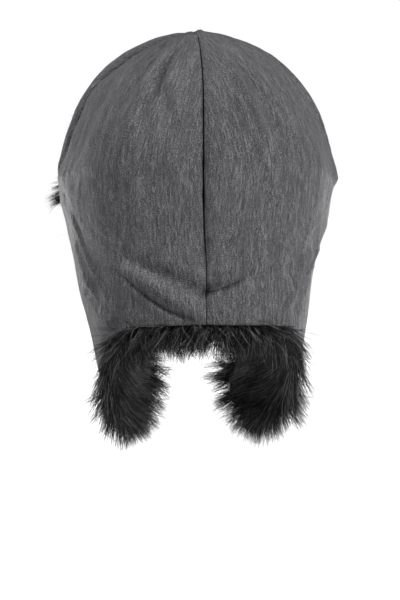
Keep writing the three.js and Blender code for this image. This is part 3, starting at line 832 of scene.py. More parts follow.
def gore_place(part, sign):
    """Where a gore's grid lies: u across it from its lower azimuth, v down from the apex."""

    def place(u, v, turned_u, turned_v):
        low, high = (0, CORNER_AZIMUTH) if part == "back" else (CORNER_AZIMUTH, 180)
        foot = base_seam_z(sign * (low + (high - low) * u))
        rise = np.clip((foot - BROW_Z) / CROWN_HEIGHT, 0, 1)
        total = np.arccos(rise ** (DOME_TOP / 2)) * 2 / math.pi
        total += np.maximum(BROW_Z - foot, 0) / BELOW_BROW_MERIDIAN
        share = TIP_OPENING + (total - TIP_OPENING) * v
        z = np.where(
            share < 1, meridian_z(np.minimum(share, 1)), BROW_Z - (share - 1) * BELOW_BROW_MERIDIAN
        )
        radius = np.maximum(section(z)["half"], 3)
        gape = sum(o * bell(z - n, h) for n, h, o in zip(*NOTCHES.values()))
        at_back = SEAM_SLITS["back"] * smooth(-z, 0, 12) + gape
        at_side = SEAM_SLITS["side_left" if sign > 0 else "side_right"]
        slits = (at_back, at_side) if part == "back" else (at_side, SEAM_SLITS["front"])
        seam = side_seam_azimuth(z)
        edges = (sign * wander(z), seam) if part == "back" else (seam, 180)
        start = edges[0] + slits[0] / (radius * DEGREE)
        end = edges[1] - slits[1] / (radius * DEGREE)
        azimuth = sign * (start + (end - start) * u)
        normals, down, around = form_frame(azimuth, z)
        above_base = base_seam_z(azimuth) + OVERHANG_EDGE * smooth(azimuth, *OVERHANG_START)
        height = relief(azimuth, np.maximum(z, above_base))
        points = form(azimuth, z) + normals * height[:, None]
        if part == "back":  # its edge laps over the curtain's
            points = points + down * turned_v[:, None] + normals * (LAP_LIFT * (v == 1))[:, None]
            turned_v = np.zeros_like(v)
        around = around * sign
        # The turned-in edges of two gores close the slit at its bottom.
        half_slit = np.where(turned_u < 0, slits[0], slits[1])
        closing = SLIT_CLOSING * half_slit * smooth(abs(turned_u), 0, SEAM_TURN[-1])
        points = points + around * (np.sign(turned_u) * closing)[:, None]
        points = sunk(
            points, normals, around * np.sign(turned_u)[:, None], down, turned_u, turned_v, (0, 0)
        )
        centre = sign * (start + end) / 2
        spread = (1 - GRAIN_FAN) * radius + GRAIN_FAN * BROW["half"]
        across = (azimuth - centre) * DEGREE * spread + turned_u
        cut = np.stack([across, -share * GORE_LENGTH - turned_v], -1)
        return points, normals, cut

    return place


class USHANKA_OT_crown(bpy.types.Operator):
    """Make the crown's four gores and the gathered tip where they meet"""

    bl_idname = "ushanka.crown"
    bl_label = "Crown"

    def execute(self, context):
        nylon = material(crinkled_nylon)
        for part, (across, down, flat, area) in GORES.items():
            columns = turned_stations(across, SEAM_TURN, SEAM_TURN, GORE_CROWDING)
            rows = turned_stations(down, (), BASE_LAP if part == "back" else SEAM_TURN)
            for side, sign in SIDES.items():
                name = f"crown_{part}_{side}"
                mesh = patch(name + "_cloth", columns, rows, gore_place(part, sign))
                piece = finish_piece(name + "_cloth", mesh, nylon, name)
                solid_cloth(piece)
        self.tip(nylon)
        return {"FINISHED"}

    def tip(self, nylon):
        """The gathered ends of the gores: a small pinched knot with pleats."""
        bm = bmesh.new()
        verts = bmesh.ops.create_circle(bm, segments=56, radius=TIP_RADIUS * MM, cap_ends=True)["verts"]
        loop = bm.edges[:]
        for step, (share, height) in enumerate(TIP_RINGS):
            if step:
                grown = bmesh.ops.extrude_edge_only(bm, edges=loop)["geom"]
                verts = [g for g in grown if isinstance(g, bmesh.types.BMVert)]
                loop = [g for g in grown if isinstance(g, bmesh.types.BMEdge)]
                loop = [e for e in loop if all(v in verts for v in e.verts)]
            for vertex in verts:
                angle = math.atan2(vertex.co.y, vertex.co.x)
                pleat = math.cos(TIP_PLEATS * angle)
                reach = TIP_RADIUS * share * (1 + 0.1 * pleat + 0.06 * math.cos(3 * angle + 1))
                rise = APEX_Z + TIP_RISE + height + 0.25 * pleat * share
                vertex.co = Vector((math.cos(angle) * reach, math.sin(angle) * reach, rise)) * MM
        bmesh.ops.contextual_create(bm, geom=loop)
        bmesh.ops.translate(bm, verts=bm.verts[:], vec=(-TIP_TO_RIGHT * MM, CROWN_LEAN * MM, 0))
        bmesh.ops.recalc_face_normals(bm, faces=bm.faces[:])
        mesh = mesh_from(bm, "crown_tip_cloth", lambda vertex: vertex.co.xy)
        finish_piece("crown_tip_cloth", mesh, nylon, "crown_tip")


# ---- Curtain ----------------------------------------------------------------------------------

CURTAIN_GRID = (110, 84)
NECK_CLOSING = 1.2  # how far the turned-in edges close the neck's slit


def curtain_place(along, down, sign):
    """Signed azimuth and height of a place on the curtain."""
    row = read(CURTAIN, "along", along)
    hem_z = np.where(sign > 0, row["hem_left"], row["hem_right"])
    top = base_seam_z(sign * row["top_azimuth"])
    bow = FRONT_EDGE_BOW * np.sin(math.pi * down) * along**3
    azimuth = row["top_azimuth"] + (row["hem_azimuth"] - row["top_azimuth"]) * down - bow
    return sign * azimuth, top + (hem_z - top) * down


def curtain_frame(along, down, sign):
    """Azimuth, height, normal, way over the hem and way over the front edge, on the form."""
    azimuth, z = curtain_place(along, down, sign)
    normal = form_frame(azimuth, z)[0]

    def at(a, d):
        return form(*curtain_place(np.clip(a, 0, 1), np.clip(d, 0, 1), sign))

    over_hem = unit(at(along, down + 0.01) - at(along, down - 0.01))
    over_front = unit(at(along + 0.01, down) - at(along - 0.01, down))
    return azimuth, z, normal, over_hem, over_front


def curtain_cloth(sign):
    """Where half of the curtain's grid lies, with its columns closer together over the neck."""

    def place(u, v, turned_u, turned_v):
        along = np.where(u < 0.5, 0.7 * u, 0.35 + 1.3 * (u - 0.5))
        azimuth, z, normal, over_hem, over_front = curtain_frame(along, v, sign)
        to_edge = wander(z) + sign * SEAM_SLITS["neck"] / (section(z)["back"] * DEGREE)
        azimuth = azimuth + to_edge * (1 - smooth(along, 0, 0.03))
        points = form(azimuth, z) + normal * relief(azimuth, z)[:, None]
        at_back, at_top = turned_u < 0, turned_v < 0
        hem_u, hem_v = np.where(at_back, 0, turned_u), np.where(at_top, 0, turned_v)
        points = sunk(points, normal, over_front, over_hem, hem_u, hem_v, (1, 1))
        seam_u, seam_v = turned_u - hem_u, turned_v - hem_v
        closing = NECK_CLOSING * SEAM_SLITS["neck"] * abs(seam_u) / SEAM_TURN[-1]
        points = points - over_front * closing[:, None]
        points = sunk(points, normal, over_front, over_hem, seam_u, seam_v, (0, 0))
        across = azimuth * DEGREE * (0.5 * section(z)["back"] + 50) + turned_u
        return points, normal, np.stack([across, z - turned_v], -1)

    return place


class USHANKA_OT_curtain(bpy.types.Operator):
    """Make the two halves of the curtain: ear flap and half of the neck flap"""

    bl_idname = "ushanka.curtain"
    bl_label = "Curtain"

    def execute(self, context):
        nylon = material(crinkled_nylon)
        columns, rows = (turned_stations(count, SEAM_TURN, HEM_TURN) for count in CURTAIN_GRID)
        for side, sign in SIDES.items():
            name = f"curtain_{side}"
            mesh = patch(name + "_cloth", columns, rows, curtain_cloth(sign))
            piece = finish_piece(name + "_cloth", mesh, nylon, name)
            solid_cloth(piece)
        return {"FINISHED"}


# ---- Pile -------------------------------------------------------------------------------------

HAIR_RINGS = (0.0, 0.36, 0.72)  # shares of a hair's length that carry a ring of three vertices
RING_RADII = (1.0, 0.8, 0.45)
# Painted shade: each ring's share of its hair's tone, darker towards the root, where the hairs crowd and
# shade it.
RING_PAINTED_SHADE = (0.55, 0.8, 1.0)
RING_SIDES = 3
TRIED_PLACES = 12  # for each hair, of which the scatter keeps those that suit its density


def hairs_mesh(name, curve, radius, tone):
    """Joined tapered hairs. curve(share) gives every hair's point at a share of its length."""
    count = len(radius)
    rings = []
    centres = [curve(share) for share in (*HAIR_RINGS, 1.0)]
    side = None
    for k, ring_radius in enumerate(RING_RADII):
        tangent = unit(centres[k + 1] - centres[max(k - 1, 0)])
        if side is None:
            guide = np.where(abs(tangent[:, 2:3]) < 0.8, [[0.0, 0, 1]], [[1.0, 0, 0]])
            side = unit(np.cross(tangent, guide))
        side = unit(side - tangent * np.sum(side * tangent, -1, keepdims=True))
        other = np.cross(tangent, side)
        for corner in range(RING_SIDES):
            angle = 2 * math.pi * corner / RING_SIDES
            reach = (radius * ring_radius)[:, None]
            rings.append(centres[k] + reach * (math.cos(angle) * side + math.sin(angle) * other))
    verts = np.stack([*rings, centres[-1]], 1)
    per_hair = verts.shape[1]
    quads = []
    for k in range(len(HAIR_RINGS) - 1):
        for c in range(RING_SIDES):
            d = (c + 1) % RING_SIDES
            low, high = k * RING_SIDES, (k + 1) * RING_SIDES
            quads.append((low + c, low + d, high + d, high + c))
    last = (len(HAIR_RINGS) - 1) * RING_SIDES
    tris = [(last + c, last + (c + 1) % RING_SIDES, per_hair - 1) for c in range(RING_SIDES)]
    tris.append(tuple(range(RING_SIDES - 1, -1, -1)))
    offsets = (np.arange(count) * per_hair)[:, None, None]
    quads = (np.array(quads)[None] + offsets).reshape(-1, 4)
    tris = (np.array(tris)[None] + offsets).reshape(-1, 3)
    mesh = bpy.data.meshes.new(name)
    mesh.vertices.add(count * per_hair)
    mesh.vertices.foreach_set("co", (verts * MM).astype(np.float32).ravel())
    loops = np.concatenate([quads.ravel(), tris.ravel()])
    mesh.loops.add(len(loops))
    mesh.loops.foreach_set("vertex_index", loops.astype(np.int32))
    mesh.polygons.add(len(quads) + len(tris))
    starts = np.concatenate([np.arange(len(quads)) * 4, len(quads) * 4 + np.arange(len(tris)) * 3])
    mesh.polygons.foreach_set("loop_start", starts.astype(np.int32))
    mesh.polygons.foreach_set("use_smooth", np.ones(len(starts), bool))
    # Painted shade: every hair's tone darkens towards its root.
    painted_root_shade = np.concatenate([np.repeat(RING_PAINTED_SHADE, RING_SIDES), [1.0]])
    layer = mesh.attributes.new("tone", "FLOAT", "POINT")
    layer.data.foreach_set("value", (tone[:, None] * painted_root_shade[None]).astype(np.float32).ravel())
    mesh.update(calc_edges=True)
    mesh.validate()
    return mesh


def scatter(count, seed, place, weight):
    """Shares (u, v) of count roots, as dense everywhere as weight(u, v) says for the same area."""
    rng = np.random.default_rng(seed)
    u, v = rng.random(count * TRIED_PLACES), rng.random(count * TRIED_PLACES)
    step = 1e-3
    here = place(u, v)
    cross = np.cross(place(u + step, v) - here, place(u, v + step) - here)
    density = np.linalg.norm(cross, axis=-1) * weight(u, v)
    keep = rng.random(len(u)) < density / np.quantile(density, 0.995)
    kept = np.flatnonzero(keep)[:count]
    if len(kept) < count:
        raise RuntimeError(f"only {len(kept)} of {count} hairs found a place")
    return u[kept], v[kept]


def clumped(roots, every):
    """For each root, the index of the root that leads its clump."""
    leaders = np.arange(0, len(roots), every)
    tree = KDTree(len(leaders))
    for k, leader in enumerate(leaders):
        tree.insert(Vector(roots[leader]), k)
    tree.balance()
    return np.array([leaders[tree.find(Vector(r))[1]] for r in roots])


# Painted highlight: some hairs are painted pale, thinner than the rest, for the glints along glossy
# strands.
HIGHLIGHT_SHARE = 0.17  # of the hairs, those pale enough to be told apart
HIGHLIGHT_THINNING = 0.62  # their radius as a share of the others'
WISP_SHARE = 0.09  # of the hairs, the thin ones that stray out longer than the rest
WISP_RADIUS = 0.42  # their radius as a share of a full one
BEND = (0.46, 0.62)  # a hair's bend from its root and its tip from the bend, as shares of its length
LOCK_SCATTER = 0.26  # how far one clump's direction strays from the next one's
CLUMP = 10  # hairs to a clump
CLUMP_PULL = 0.6  # how far a hair's tip is drawn to its clump's
WISP_PULL = 0.15  # and a wisp's
SHEARED = {"side": 134.5, "back": 130.0, "bottom": -360.0}  # where the stray hairs are trimmed


def kept_inside(way, wall):
    """Directions with what leads them out through the wall taken away. wall is 0 where it's open."""
    through = np.sum(way * wall, -1, keepdims=True)
    return unit(way - wall * np.maximum(through + 0.15, 0))


def grow(name, roots, first, last, length, seed, unruly=1.0, wall=None):
    """Hairs from their roots: first and last are each hair's directions at its root and its tip.

    unruly says how much they scatter, and wall is the normal of the cloth that holds each in, or 0.
    """
    look = bpy.context.scene.ushanka_pile
    rng = np.random.default_rng(seed)
    count = len(roots)
    leader = clumped(roots, CLUMP)
    unruly = np.broadcast_to(unruly, count)[:, None]
    lock = rng.normal(0, LOCK_SCATTER, (count, 3))[leader] * unruly
    first = unit(first + 0.5 * lock + rng.normal(0, 0.16, (count, 3)) * unruly)
    last = unit(last + 1.2 * lock + rng.normal(0, 0.14, (count, 3)) * unruly)
    wall = np.zeros((count, 3)) if wall is None else wall
    first, last = kept_inside(first, wall), kept_inside(last, wall)
    held = np.any(wall != 0, -1)
    wisp = rng.random(count) < WISP_SHARE
    spread = rng.normal(1, 0.12, count)[leader] * rng.normal(1, 0.07, count)
    long = length * np.where(wisp, rng.uniform(1.05, 1.3, count), spread)
    middle = roots + first * (BEND[0] * long)[:, None]
    tip = middle + last * (BEND[1] * long)[:, None]
    strength = np.where(wisp, WISP_PULL, CLUMP_PULL * rng.uniform(0.6, 1.2, count))
    strength = np.where(held & ~held[leader], 0.1, strength)[:, None]
    loose = rng.normal(0, 0.9, (count, 3))
    tip = tip + (tip[leader] - tip + loose) * strength
    middle = middle + (middle[leader] - middle) * strength * 0.45
    tip[:, 0] = np.clip(tip[:, 0], -SHEARED["side"], SHEARED["side"])
    tip[:, 1] = np.minimum(tip[:, 1], SHEARED["back"])
    tip[:, 2] = np.maximum(tip[:, 2], SHEARED["bottom"])
    # Painted highlights on those pale hairs; the rest take a dark tone at random.
    lit = rng.random(count) < HIGHLIGHT_SHARE
    tone = np.where(lit, rng.uniform(0.5, 1, count), 0.2 * rng.beta(1, 4, count))
    radius = look.hair_radius / MM * np.where(wisp, WISP_RADIUS, rng.uniform(0.7, 1.2, count))
    radius = radius * np.where(lit, HIGHLIGHT_THINNING, 1)

    def curve(share):
        return (1 - share) ** 2 * roots + 2 * share * (1 - share) * middle + share**2 * tip

    return hairs_mesh(name, curve, radius, tone)


LINING = 2.2  # the pile's ground lies this far inside the cloth's face
HEM_LINING = 3.4  # more of it where the hem is turned in
FRINGE_SHARE = 0.42  # of the hairs, those that root right at the hem
FRONT_SHARE = 0.35  # hairs of the fringe up an ear flap's front edge, for each one on its hem
FRONT_CLIMB = 2.6  # spreads them over nine tenths of that edge
# Along the curtain: how the pile is brushed towards the front edge at the hem and inside it, how far
# it stands out over the hem on each side, how far the inside pile stands off the cloth, and the
# pile's length as a share of the full one.
COMB = table(
    "along hem inside out_left out_right stand reach",
    (0, 0.1, 0.0, 0.1, 0.1, 0.2, 0.74),
    (0.1, 0.25, 0.0, 0.1, 0.1, 0.2, 0.78),
    (0.2, 0.5, -0.1, 0.15, 0.1, 0.3, 0.92),
    (0.35, 0.5, -0.25, 0.05, 0.25, 0.6, 1.02),
    (0.5, 0.25, -0.4, 0.25, 0.95, 0.9, 1.0),
    (0.68, 0.1, -0.3, -0.65, -0.2, 1.1, 1.1),
    (0.85, 0.1, 0.0, -0.4, -0.3, 0.9, 1.12),
    (1, 0.5, 0.4, 0.1, 0.2, 0.3, 1.0),
)
OVERLAP_SHARE = 0.14  # of the fringe, the hairs that curl up over the hem's edge
PILE_LAP = 0.02  # how far the neck's and an ear flap's pile run into each other, along the curtain
CURTAIN_GROUND_GRID = (48, 36)


def lining(azimuth, z, normal, depth):
    """Points a depth inside the cloth, whose own face may dip below the master form."""
    dip = np.minimum(relief(azimuth, z), 0)
    return form(azimuth, z) + normal * (dip - LINING - depth)[:, None]


def curtain_pile(name, low, high, count, seed, sides):
    """Hairs inside the curtain between two shares along it, on the given sides."""
    look = bpy.context.scene.ushanka_pile
    rng = np.random.default_rng(seed)
    at_front = high == 1.0
    fringe = int(count * FRINGE_SHARE)

    def inside(u, v):
        along = low + (high - low) * np.clip(u, 0, 1)
        return form(*curtain_place(along, np.clip(v, 0, 1), sides[0]))

    def weight(u, v):
        edge = smooth(v, 0.82, 0.97)
        if at_front:
            edge = np.maximum(edge, smooth(u, 0.9, 0.98))
        return (0.35 + 0.65 * smooth(v, 0.1, 0.6) + 1.4 * edge) * smooth(v, 0.02, 0.06)

    u, v = scatter(count - fringe, seed, inside, weight)
    # The fringe runs along the hem and, on an ear flap, most of the way up the front edge.
    run = rng.random(fringe) * (1 + FRONT_SHARE * at_front)
    u = np.concatenate([u, np.minimum(run, 1)])
    v = np.concatenate([v, np.where(run > 1, 1 - FRONT_CLIMB * (run - 1), 1.0)])
    on_hem = np.arange(count) >= count - fringe
    which = rng.choice(sides, count).astype(float)
    along = low + (high - low) * u
    azimuth, z, normal, over_hem, over_front = curtain_frame(along, v, which)
    near_hem = np.maximum(smooth(v, 0.8, 0.97), on_hem)
    near_front = smooth(along, 0.9, 0.99)
    edge = np.maximum(near_hem, near_front)
    depth = HEM_LINING * edge * rng.uniform(0.2, 1.5, count)
    roots = lining(azimuth, z, normal, depth)
    brushed = read(COMB, "along", along)
    sideways = np.where(on_hem, brushed["hem"], brushed["inside"]) + 0.5 * near_front
    # The neck's pile all leans towards the wearer's left.
    sideways = sideways + 0.3 * which * (1 - smooth(along, 0.02, 0.16)) + rng.normal(0, 0.16, count)
    way = unit(over_hem + over_front * sideways[:, None])
    over = on_hem & (rng.random(count) < OVERLAP_SHARE * (1 - smooth(along, 0.36, 0.48)))
    roots = roots + over_hem * (2.5 * over)[:, None]
    stands = np.where(which > 0, brushed["out_left"], brushed["out_right"])
    out = np.where(on_hem, stands + rng.normal(0, 0.38, count), -0.9 + 0.5 * edge)
    inward = np.where(on_hem, 0, brushed["stand"] * (1 - 0.4 * edge))
    first = unit(way * (0.5 + 0.7 * edge)[:, None] + normal * (out * (1 - 0.45 * edge))[:, None])
    curled = unit(normal + over_front * (0.6 * sideways)[:, None] - over_hem * 0.3)
    first = np.where(over[:, None], curled, first)
    sag = np.array([[0, 0, -1.0]])
    last = unit(way * 0.75 + sag * 0.5 + normal * (0.9 * out * edge - inward)[:, None])
    length = look.length / MM * (1 - 0.1 * edge) * brushed["reach"] * np.where(over, 0.5, 1)
    unruly = np.where(over, 1.0, 1.35 + 0.45 * (1 - smooth(along, 0.1, 0.35)))
    held = 1 - smooth(np.maximum(v, smooth(along, 0.9, 0.97)), 0.86, 0.93)
    wall = normal * ((held > 0.5) & ~on_hem)[:, None]
    return grow(name, roots, first, last, length, seed + 1, unruly, wall)


NECK_GROUND, FLAP_GROUND, VISOR_GROUND = 10.0, 21.0, 12.0  # depth of the underhair


def ground_mesh(name, place, columns, rows, thick):
    """A closed cushion of underhair. place(u, v, depth) gives points and flat coordinates; depth is
    0 at the cloth."""
    bm = bmesh.new()
    bmesh.ops.create_grid(bm, x_segments=columns, y_segments=rows, size=0.5)
    flat = np.array([v.co[:2] for v in bm.verts]) + 0.5
    u, v = flat[:, 0], flat[:, 1]
    back = bm.verts[:]
    copy = bmesh.ops.duplicate(bm, geom=bm.verts[:] + bm.edges[:] + bm.faces[:])
    front = [copy["vert_map"][vertex] for vertex in back]
    edge = np.minimum(np.minimum(u, 1 - u) * 6, np.minimum(v, 1 - v) * 6)
    full = np.sqrt(1 - (1 - np.clip(edge, 0, 1)) ** 2)
    lumps = 1 + 0.22 * noise(u * 14, v * 12, 29)
    spread = {}
    for verts, depth in ((back, np.zeros_like(u)), (front, 0.6 + thick * full * lumps)):
        points, cut = place(u, v, depth)
        for vertex, point, at in zip(verts, points * MM, cut * MM):
            vertex.co = point
            spread[vertex] = at
    rims = [e for e in bm.edges if len(e.link_faces) == 1]
    bmesh.ops.bridge_loops(bm, edges=rims)
    bmesh.ops.recalc_face_normals(bm, faces=bm.faces[:])
    return mesh_from(bm, name, spread.get)


def curtain_ground(low, high, sides):
    """Underhair inside the curtain, on one side or across both sides of the centre back."""

    def place(u, v, depth):
        if len(sides) == 2:
            along, which = abs(2 * u - 1) * high, np.where(u < 0.5, -1.0, 1.0)
        else:
            along, which = low + (high - low) * u, np.full_like(u, sides[0])
        azimuth, z, normal, over_hem, _ = curtain_frame(along, 0.03 + 0.965 * v, which)
        below = 8 * smooth(v, 0.8, 1.0) * smooth(depth, 1.0, 5.0)
        points = lining(azimuth, z, normal, depth - 0.5) + over_hem * below[:, None]
        return points, np.stack([azimuth * DEGREE * 90, z], -1)

    return place


class USHANKA_OT_pile(bpy.types.Operator):
    """Make the faux fur inside the neck flap and the ear flaps"""

    bl_idname = "ushanka.pile"
    bl_label = "Pile"

    def execute(self, context):
        look = context.scene.ushanka_pile
        hair, ground = material(knitted_pile), material(pile_ground)
        # Ends along the curtain, locks, seed, depth of the underhair and the sides it is on.
        parts = {
            "fur_neck": (0.0, NECK_ALONG + PILE_LAP, look.neck_hairs, 101, NECK_GROUND, (1, -1)),
            "fur_flap_left": (NECK_ALONG - PILE_LAP, 1.0, look.flap_hairs, 202, FLAP_GROUND, (1,)),
            "fur_flap_right": (NECK_ALONG - PILE_LAP, 1.0, look.flap_hairs, 303, FLAP_GROUND, (-1,)),
        }
        for name, (low, high, count, seed, depth, sides) in parts.items():
            mesh = curtain_pile(name + "_hair", low, high, count, seed, sides)
            finish_piece(name + "_hair", mesh, hair, name)
            place = curtain_ground(low, high, sides)
            mesh = ground_mesh(name + "_ground", place, *CURTAIN_GROUND_GRID, depth)
            finish_piece(name + "_ground", mesh, ground, name)
        return {"FINISHED"}


# ---- Visor ------------------------------------------------------------------------------------

VISOR_GRID = (76, 28)
VISOR_GROUND_GRID = (60, 24)
VISOR_END = 0.9999  # just short of the very end, where its outline is square to it
CLOTH_STAND, GROUND_STAND, HAIR_STAND = 3.0, 3.6, 4.0  # millimetres outside the crown
# Random waves in the visor's cloth: height, length, width and the noise's seed.
VISOR_WAVES = ((0.5, 22, 26, 41), (0.3, 7, 20, 43))


def visor_place(across, up, stand):
    """A point of the visor: across -1 to 1, up 0 to 1, and stand millimetres outside the crown."""
    shape = np.sqrt(np.maximum(1 - abs(across) ** VISOR_ROUNDNESS, 0))
    height = VISOR_END_HEIGHT + (VISOR_HEIGHT - VISOR_END_HEIGHT) * shape
    z = BROW_Z + height * up
    crown = section(np.maximum(z, BROW_Z))
    fall = crown["front"] / BROW["front"]
    upright = fall + (1 - fall) * VISOR_STAND
    angle = across * VISOR_HALF_ANGLE * DEGREE
    sine, cosine = np.sin(angle), np.cos(angle)
    radius = rounded_square(sine, cosine, BROW["half"] * upright, BROW["front"] * upright) + stand
    return np.stack([radius * sine, -radius * cosine + crown["middle"], z], -1)


def visor_frame(across, up, stand):
    """Point, outward normal, way over the end and way over the top edge of the visor."""
    step = 1e-3
    point = visor_place(across, up, stand)
    over_end = unit(visor_place(across + step, up, stand) - point)
    over_top = unit(visor_place(across, up + step, stand) - point)
    return point, unit(np.cross(over_end, over_top)), over_end, over_top


def visor_cloth(u, v, turned_u, turned_v):
    """Where the visor's grid lies."""
    across = 2 * u - 1
    point, normal, over_end, over_top = visor_frame(across * VISOR_END, v, CLOTH_STAND)
    x, y = across * VISOR_HALF_LENGTH, v * VISOR_HEIGHT
    for rise, length, width, seed in VISOR_WAVES:
        point = point + normal * (rise * noise(x / length, y / width, seed))[:, None]
    outward_u = over_end * np.sign(turned_u)[:, None]
    outward_v = over_top * np.sign(turned_v)[:, None]
    point = sunk(point, -normal, outward_u, outward_v, turned_u, turned_v, (1, 1))
    return point, -normal, np.stack([x + turned_u, y + turned_v], -1)


def visor_ground(u, v, depth):
    """Where the visor's underhair lies."""
    across = (2 * u - 1) * VISOR_END
    point, normal, _, _ = visor_frame(across, v, GROUND_STAND)
    cut = np.stack([across * VISOR_HALF_LENGTH, v * VISOR_HEIGHT], -1)
    return point + normal * depth[:, None], cut


def visor_pile(name, count, seed):
    """Hairs on the visor's face, brushed out from its middle."""
    look = bpy.context.scene.ushanka_pile

    def face(u, v):
        return visor_place(2 * np.clip(u, 0, 1) - 1, v, CLOTH_STAND)

    def weight(u, v):
        end = smooth(abs(2 * u - 1), 0.9, 1)
        rim = np.maximum(end, np.maximum(smooth(v, 0.88, 1), smooth(-v, -0.1, 0)))
        left_tuft = smooth(2 * u - 1, 0.86, 0.98) * bell(v - 0.3, 0.2)
        return 1 + 1.2 * rim + 6 * left_tuft

    u, v = scatter(count, seed, face, weight)
    across = (2 * u - 1) * VISOR_END
    roots, normal, over_end, over_top = visor_frame(across, v, HAIR_STAND)
    outward = np.sign(across) * smooth(abs(across), 0.55, 1.0)
    upward = 1.1 * smooth(v, 0.75, 1.0) - 0.75 * (1 - smooth(v, 0.0, 0.55)) - 0.18
    at_end = smooth(across, 0.9, 0.99)
    way = over_end * (0.9 * outward)[:, None] + over_top * (upward * (1 - 0.8 * at_end))[:, None]
    first = unit(normal * 0.85 + way * 0.8)
    sag = np.array([[0, 0, -0.35]]) * (1 - at_end)[:, None]
    last = unit(normal * 0.42 + way + sag)
    rim = np.maximum(abs(outward), abs(upward) * 0.6)
    length = look.length / MM * (0.78 - 0.2 * rim)
    length = length * (1 - 0.75 * smooth(abs(across), 0.86, 0.96) * smooth(v, 0.45, 0.75))
    length = length * (1 + 0.3 * at_end * bell(v - 0.3, 0.22))
    return grow(name, roots, first, last, length, seed + 1, 1 - 0.5 * at_end)


class USHANKA_OT_visor(bpy.types.Operator):
    """Make the turned-up visor and the faux fur on its face"""

    bl_idname = "ushanka.visor"
    bl_label = "Visor"

    def execute(self, context):
        look = context.scene.ushanka_pile
        columns, rows = (turned_stations(count, HEM_TURN, HEM_TURN) for count in VISOR_GRID)
        mesh = patch("visor_cloth", columns, rows, visor_cloth)
        piece = finish_piece("visor_cloth", mesh, material(crinkled_nylon), "visor")
        solid_cloth(piece)
        mesh = visor_pile("visor_fur_hair", look.visor_hairs, 404)
        finish_piece("visor_fur_hair", mesh, material(knitted_pile), "visor_fur")
        mesh = ground_mesh("visor_fur_ground", visor_ground, *VISOR_GROUND_GRID, VISOR_GROUND)
        finish_piece("visor_fur_ground", mesh, material(pile_ground), "visor_fur")
        return {"FINISHED"}


# ---- Stage ------------------------------------------------------------------------------------

CAMERA_DISTANCE = 500.0
CAMERA_AZIMUTH = 4.0  # degrees from the centre back towards the wearer's left
CAMERA_Z = -220.5
CAMERA_SIDE = 3.2  # how far the camera stands to its own right of the hat's axis
FLOOR_Z = -420.0
HAT_MIDDLE = Vector((0, 0, -0.17))  # in metres, where the lamps point
ROOM_LIGHT = 0.2  # strength of the white room, which the camera sees at full strength
FLOOR_GLOW = (0.7, 1.0)  # near the hat and from 3 m away
LAMPS = (  # name, place in metres, size in metres, watts
    ("key", (-1.3, 0.95, 0.1), (0.9, 0.9), 28),
    ("high_left", (0.9, 0.5, 1.5), (0.8, 0.8), 34),
    ("front_left", (1.2, -1.15, 0.0), (0.9, 0.5), 15),
    ("front_right", (-1.0, -1.35, -0.1), (1.0, 0.5), 13),
)


def aimed(name, data, place, way):
    """A camera or a lamp at a place in metres, looking along a direction."""
    held = bpy.data.objects.new(name, data)
    collection().objects.link(held)
    held.location = place
    held.rotation_mode = "QUATERNION"
    held.rotation_quaternion = way.to_track_quat("-Z", "Y")
    return held


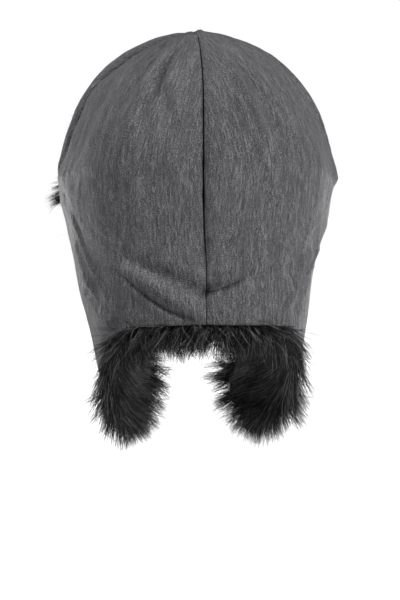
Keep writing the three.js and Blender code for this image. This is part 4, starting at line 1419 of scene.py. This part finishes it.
class USHANKA_OT_stage(bpy.types.Operator):
    """Make the camera, the plain pale floor and the soft studio light"""

    bl_idname = "ushanka.stage"
    bl_label = "Stage"

    def execute(self, context):
        self.camera(context.scene)
        self.floor()
        self.light(context.scene)
        return {"FINISHED"}

    def camera(self, scene):
        data = bpy.data.cameras.new("camera")
        data.lens = data.sensor_width = 36
        angle = CAMERA_AZIMUTH * DEGREE
        to_hat = Vector((-math.sin(angle), -math.cos(angle), 0))
        right = to_hat.cross(Vector((0, 0, 1)))
        place = -to_hat * CAMERA_DISTANCE + right * CAMERA_SIDE
        place.z = CAMERA_Z
        scene.camera = aimed("camera", data, place * MM, to_hat)

    def floor(self):
        bm = bmesh.new()
        bmesh.ops.create_grid(bm, x_segments=8, y_segments=8, size=20)
        bmesh.ops.translate(bm, verts=bm.verts[:], vec=(0, 0, FLOOR_Z * MM))
        mesh = mesh_from(bm, "floor")
        floor = bpy.data.objects.new("floor", mesh)
        collection().objects.link(floor)
        paint, tree = new_material("matt_white_board")
        # The board glows a little to the camera only, so it meets the white backdrop.
        path = node(tree, "LightPath")
        place = node(tree, "TexCoord")
        away = node(tree, "VectorMath", {0: place.outputs["Object"]}, operation="LENGTH").outputs["Value"]
        values = {"From Min": 0.6, "From Max": 3.0, "To Min": FLOOR_GLOW[0], "To Max": FLOOR_GLOW[1]}
        rising = node(tree, "MapRange", {"Value": away}, values, interpolation_type="SMOOTHSTEP")
        links = {0: path.outputs["Is Camera Ray"], 1: rising.outputs["Result"]}
        glow = node(tree, "Math", links, operation="MULTIPLY")
        values = {"Base Color": (*colour("#cfcfcf"), 1), "Roughness": 0.9, "Specular IOR Level": 0.0}
        values["Emission Color"] = (1, 1, 1, 1)
        links = {"Emission Strength": glow.outputs[0]}
        shader = node(tree, "BsdfPrincipled", links, values)
        node(tree, "OutputMaterial", {"Surface": shader.outputs[0]})
        mesh.materials.append(paint)

    def light(self, scene):
        world = bpy.data.worlds.new("studio")
        scene.world = world
        world.use_nodes = True
        tree = world.node_tree
        tree.nodes.clear()
        path = node(tree, "LightPath")
        values = {"To Min": ROOM_LIGHT, "To Max": 1.0}
        strength = node(tree, "MapRange", {"Value": path.outputs["Is Camera Ray"]}, values)
        links = {"Strength": strength.outputs["Result"]}
        sky = node(tree, "Background", links, {"Color": (*colour("#ffffff"), 1)})
        node(tree, "OutputWorld", {"Surface": sky.outputs[0]})
        for name, place, size, power in LAMPS:
            lamp = bpy.data.lights.new(name, "AREA")
            lamp.shape = "RECTANGLE"
            lamp.size, lamp.size_y = size
            lamp.energy = power
            aimed(name, lamp, place, HAT_MIDDLE - Vector(place))
        scene.view_settings.view_transform = "Standard"


# ---- Panel and registration -------------------------------------------------------------------


class USHANKA_PT_panel(bpy.types.Panel):
    """Lists the hat's operators and settings"""

    bl_idname = "USHANKA_PT_panel"
    bl_label = "Ushanka"
    bl_space_type = "VIEW_3D"
    bl_region_type = "UI"
    bl_category = "Ushanka"

    def draw(self, context):
        for made in OPERATORS:
            self.layout.operator(made.bl_idname)
        for group in (context.scene.ushanka_cloth, context.scene.ushanka_pile):
            for name in group.__annotations__:
                self.layout.prop(group, name)


OPERATORS = (
    USHANKA_OT_stage,
    USHANKA_OT_crown,
    USHANKA_OT_curtain,
    USHANKA_OT_pile,
    USHANKA_OT_visor,
)
CLASSES = (UshankaCloth, UshankaPile, *OPERATORS, USHANKA_PT_panel)


def register():
    for cls in CLASSES:
        bpy.utils.register_class(cls)
    bpy.types.Scene.ushanka_cloth = PointerProperty(type=UshankaCloth)
    bpy.types.Scene.ushanka_pile = PointerProperty(type=UshankaPile)


def unregister():
    del bpy.types.Scene.ushanka_pile
    del bpy.types.Scene.ushanka_cloth
    for cls in reversed(CLASSES):
        bpy.utils.unregister_class(cls)


def main():
    register()
    for name in ("stage", "crown", "curtain", "pile", "visor"):
        if getattr(bpy.ops.ushanka, name)() != {"FINISHED"}:
            raise RuntimeError(f"the {name} operator did not finish")


if __name__ == "__main__":
    main()
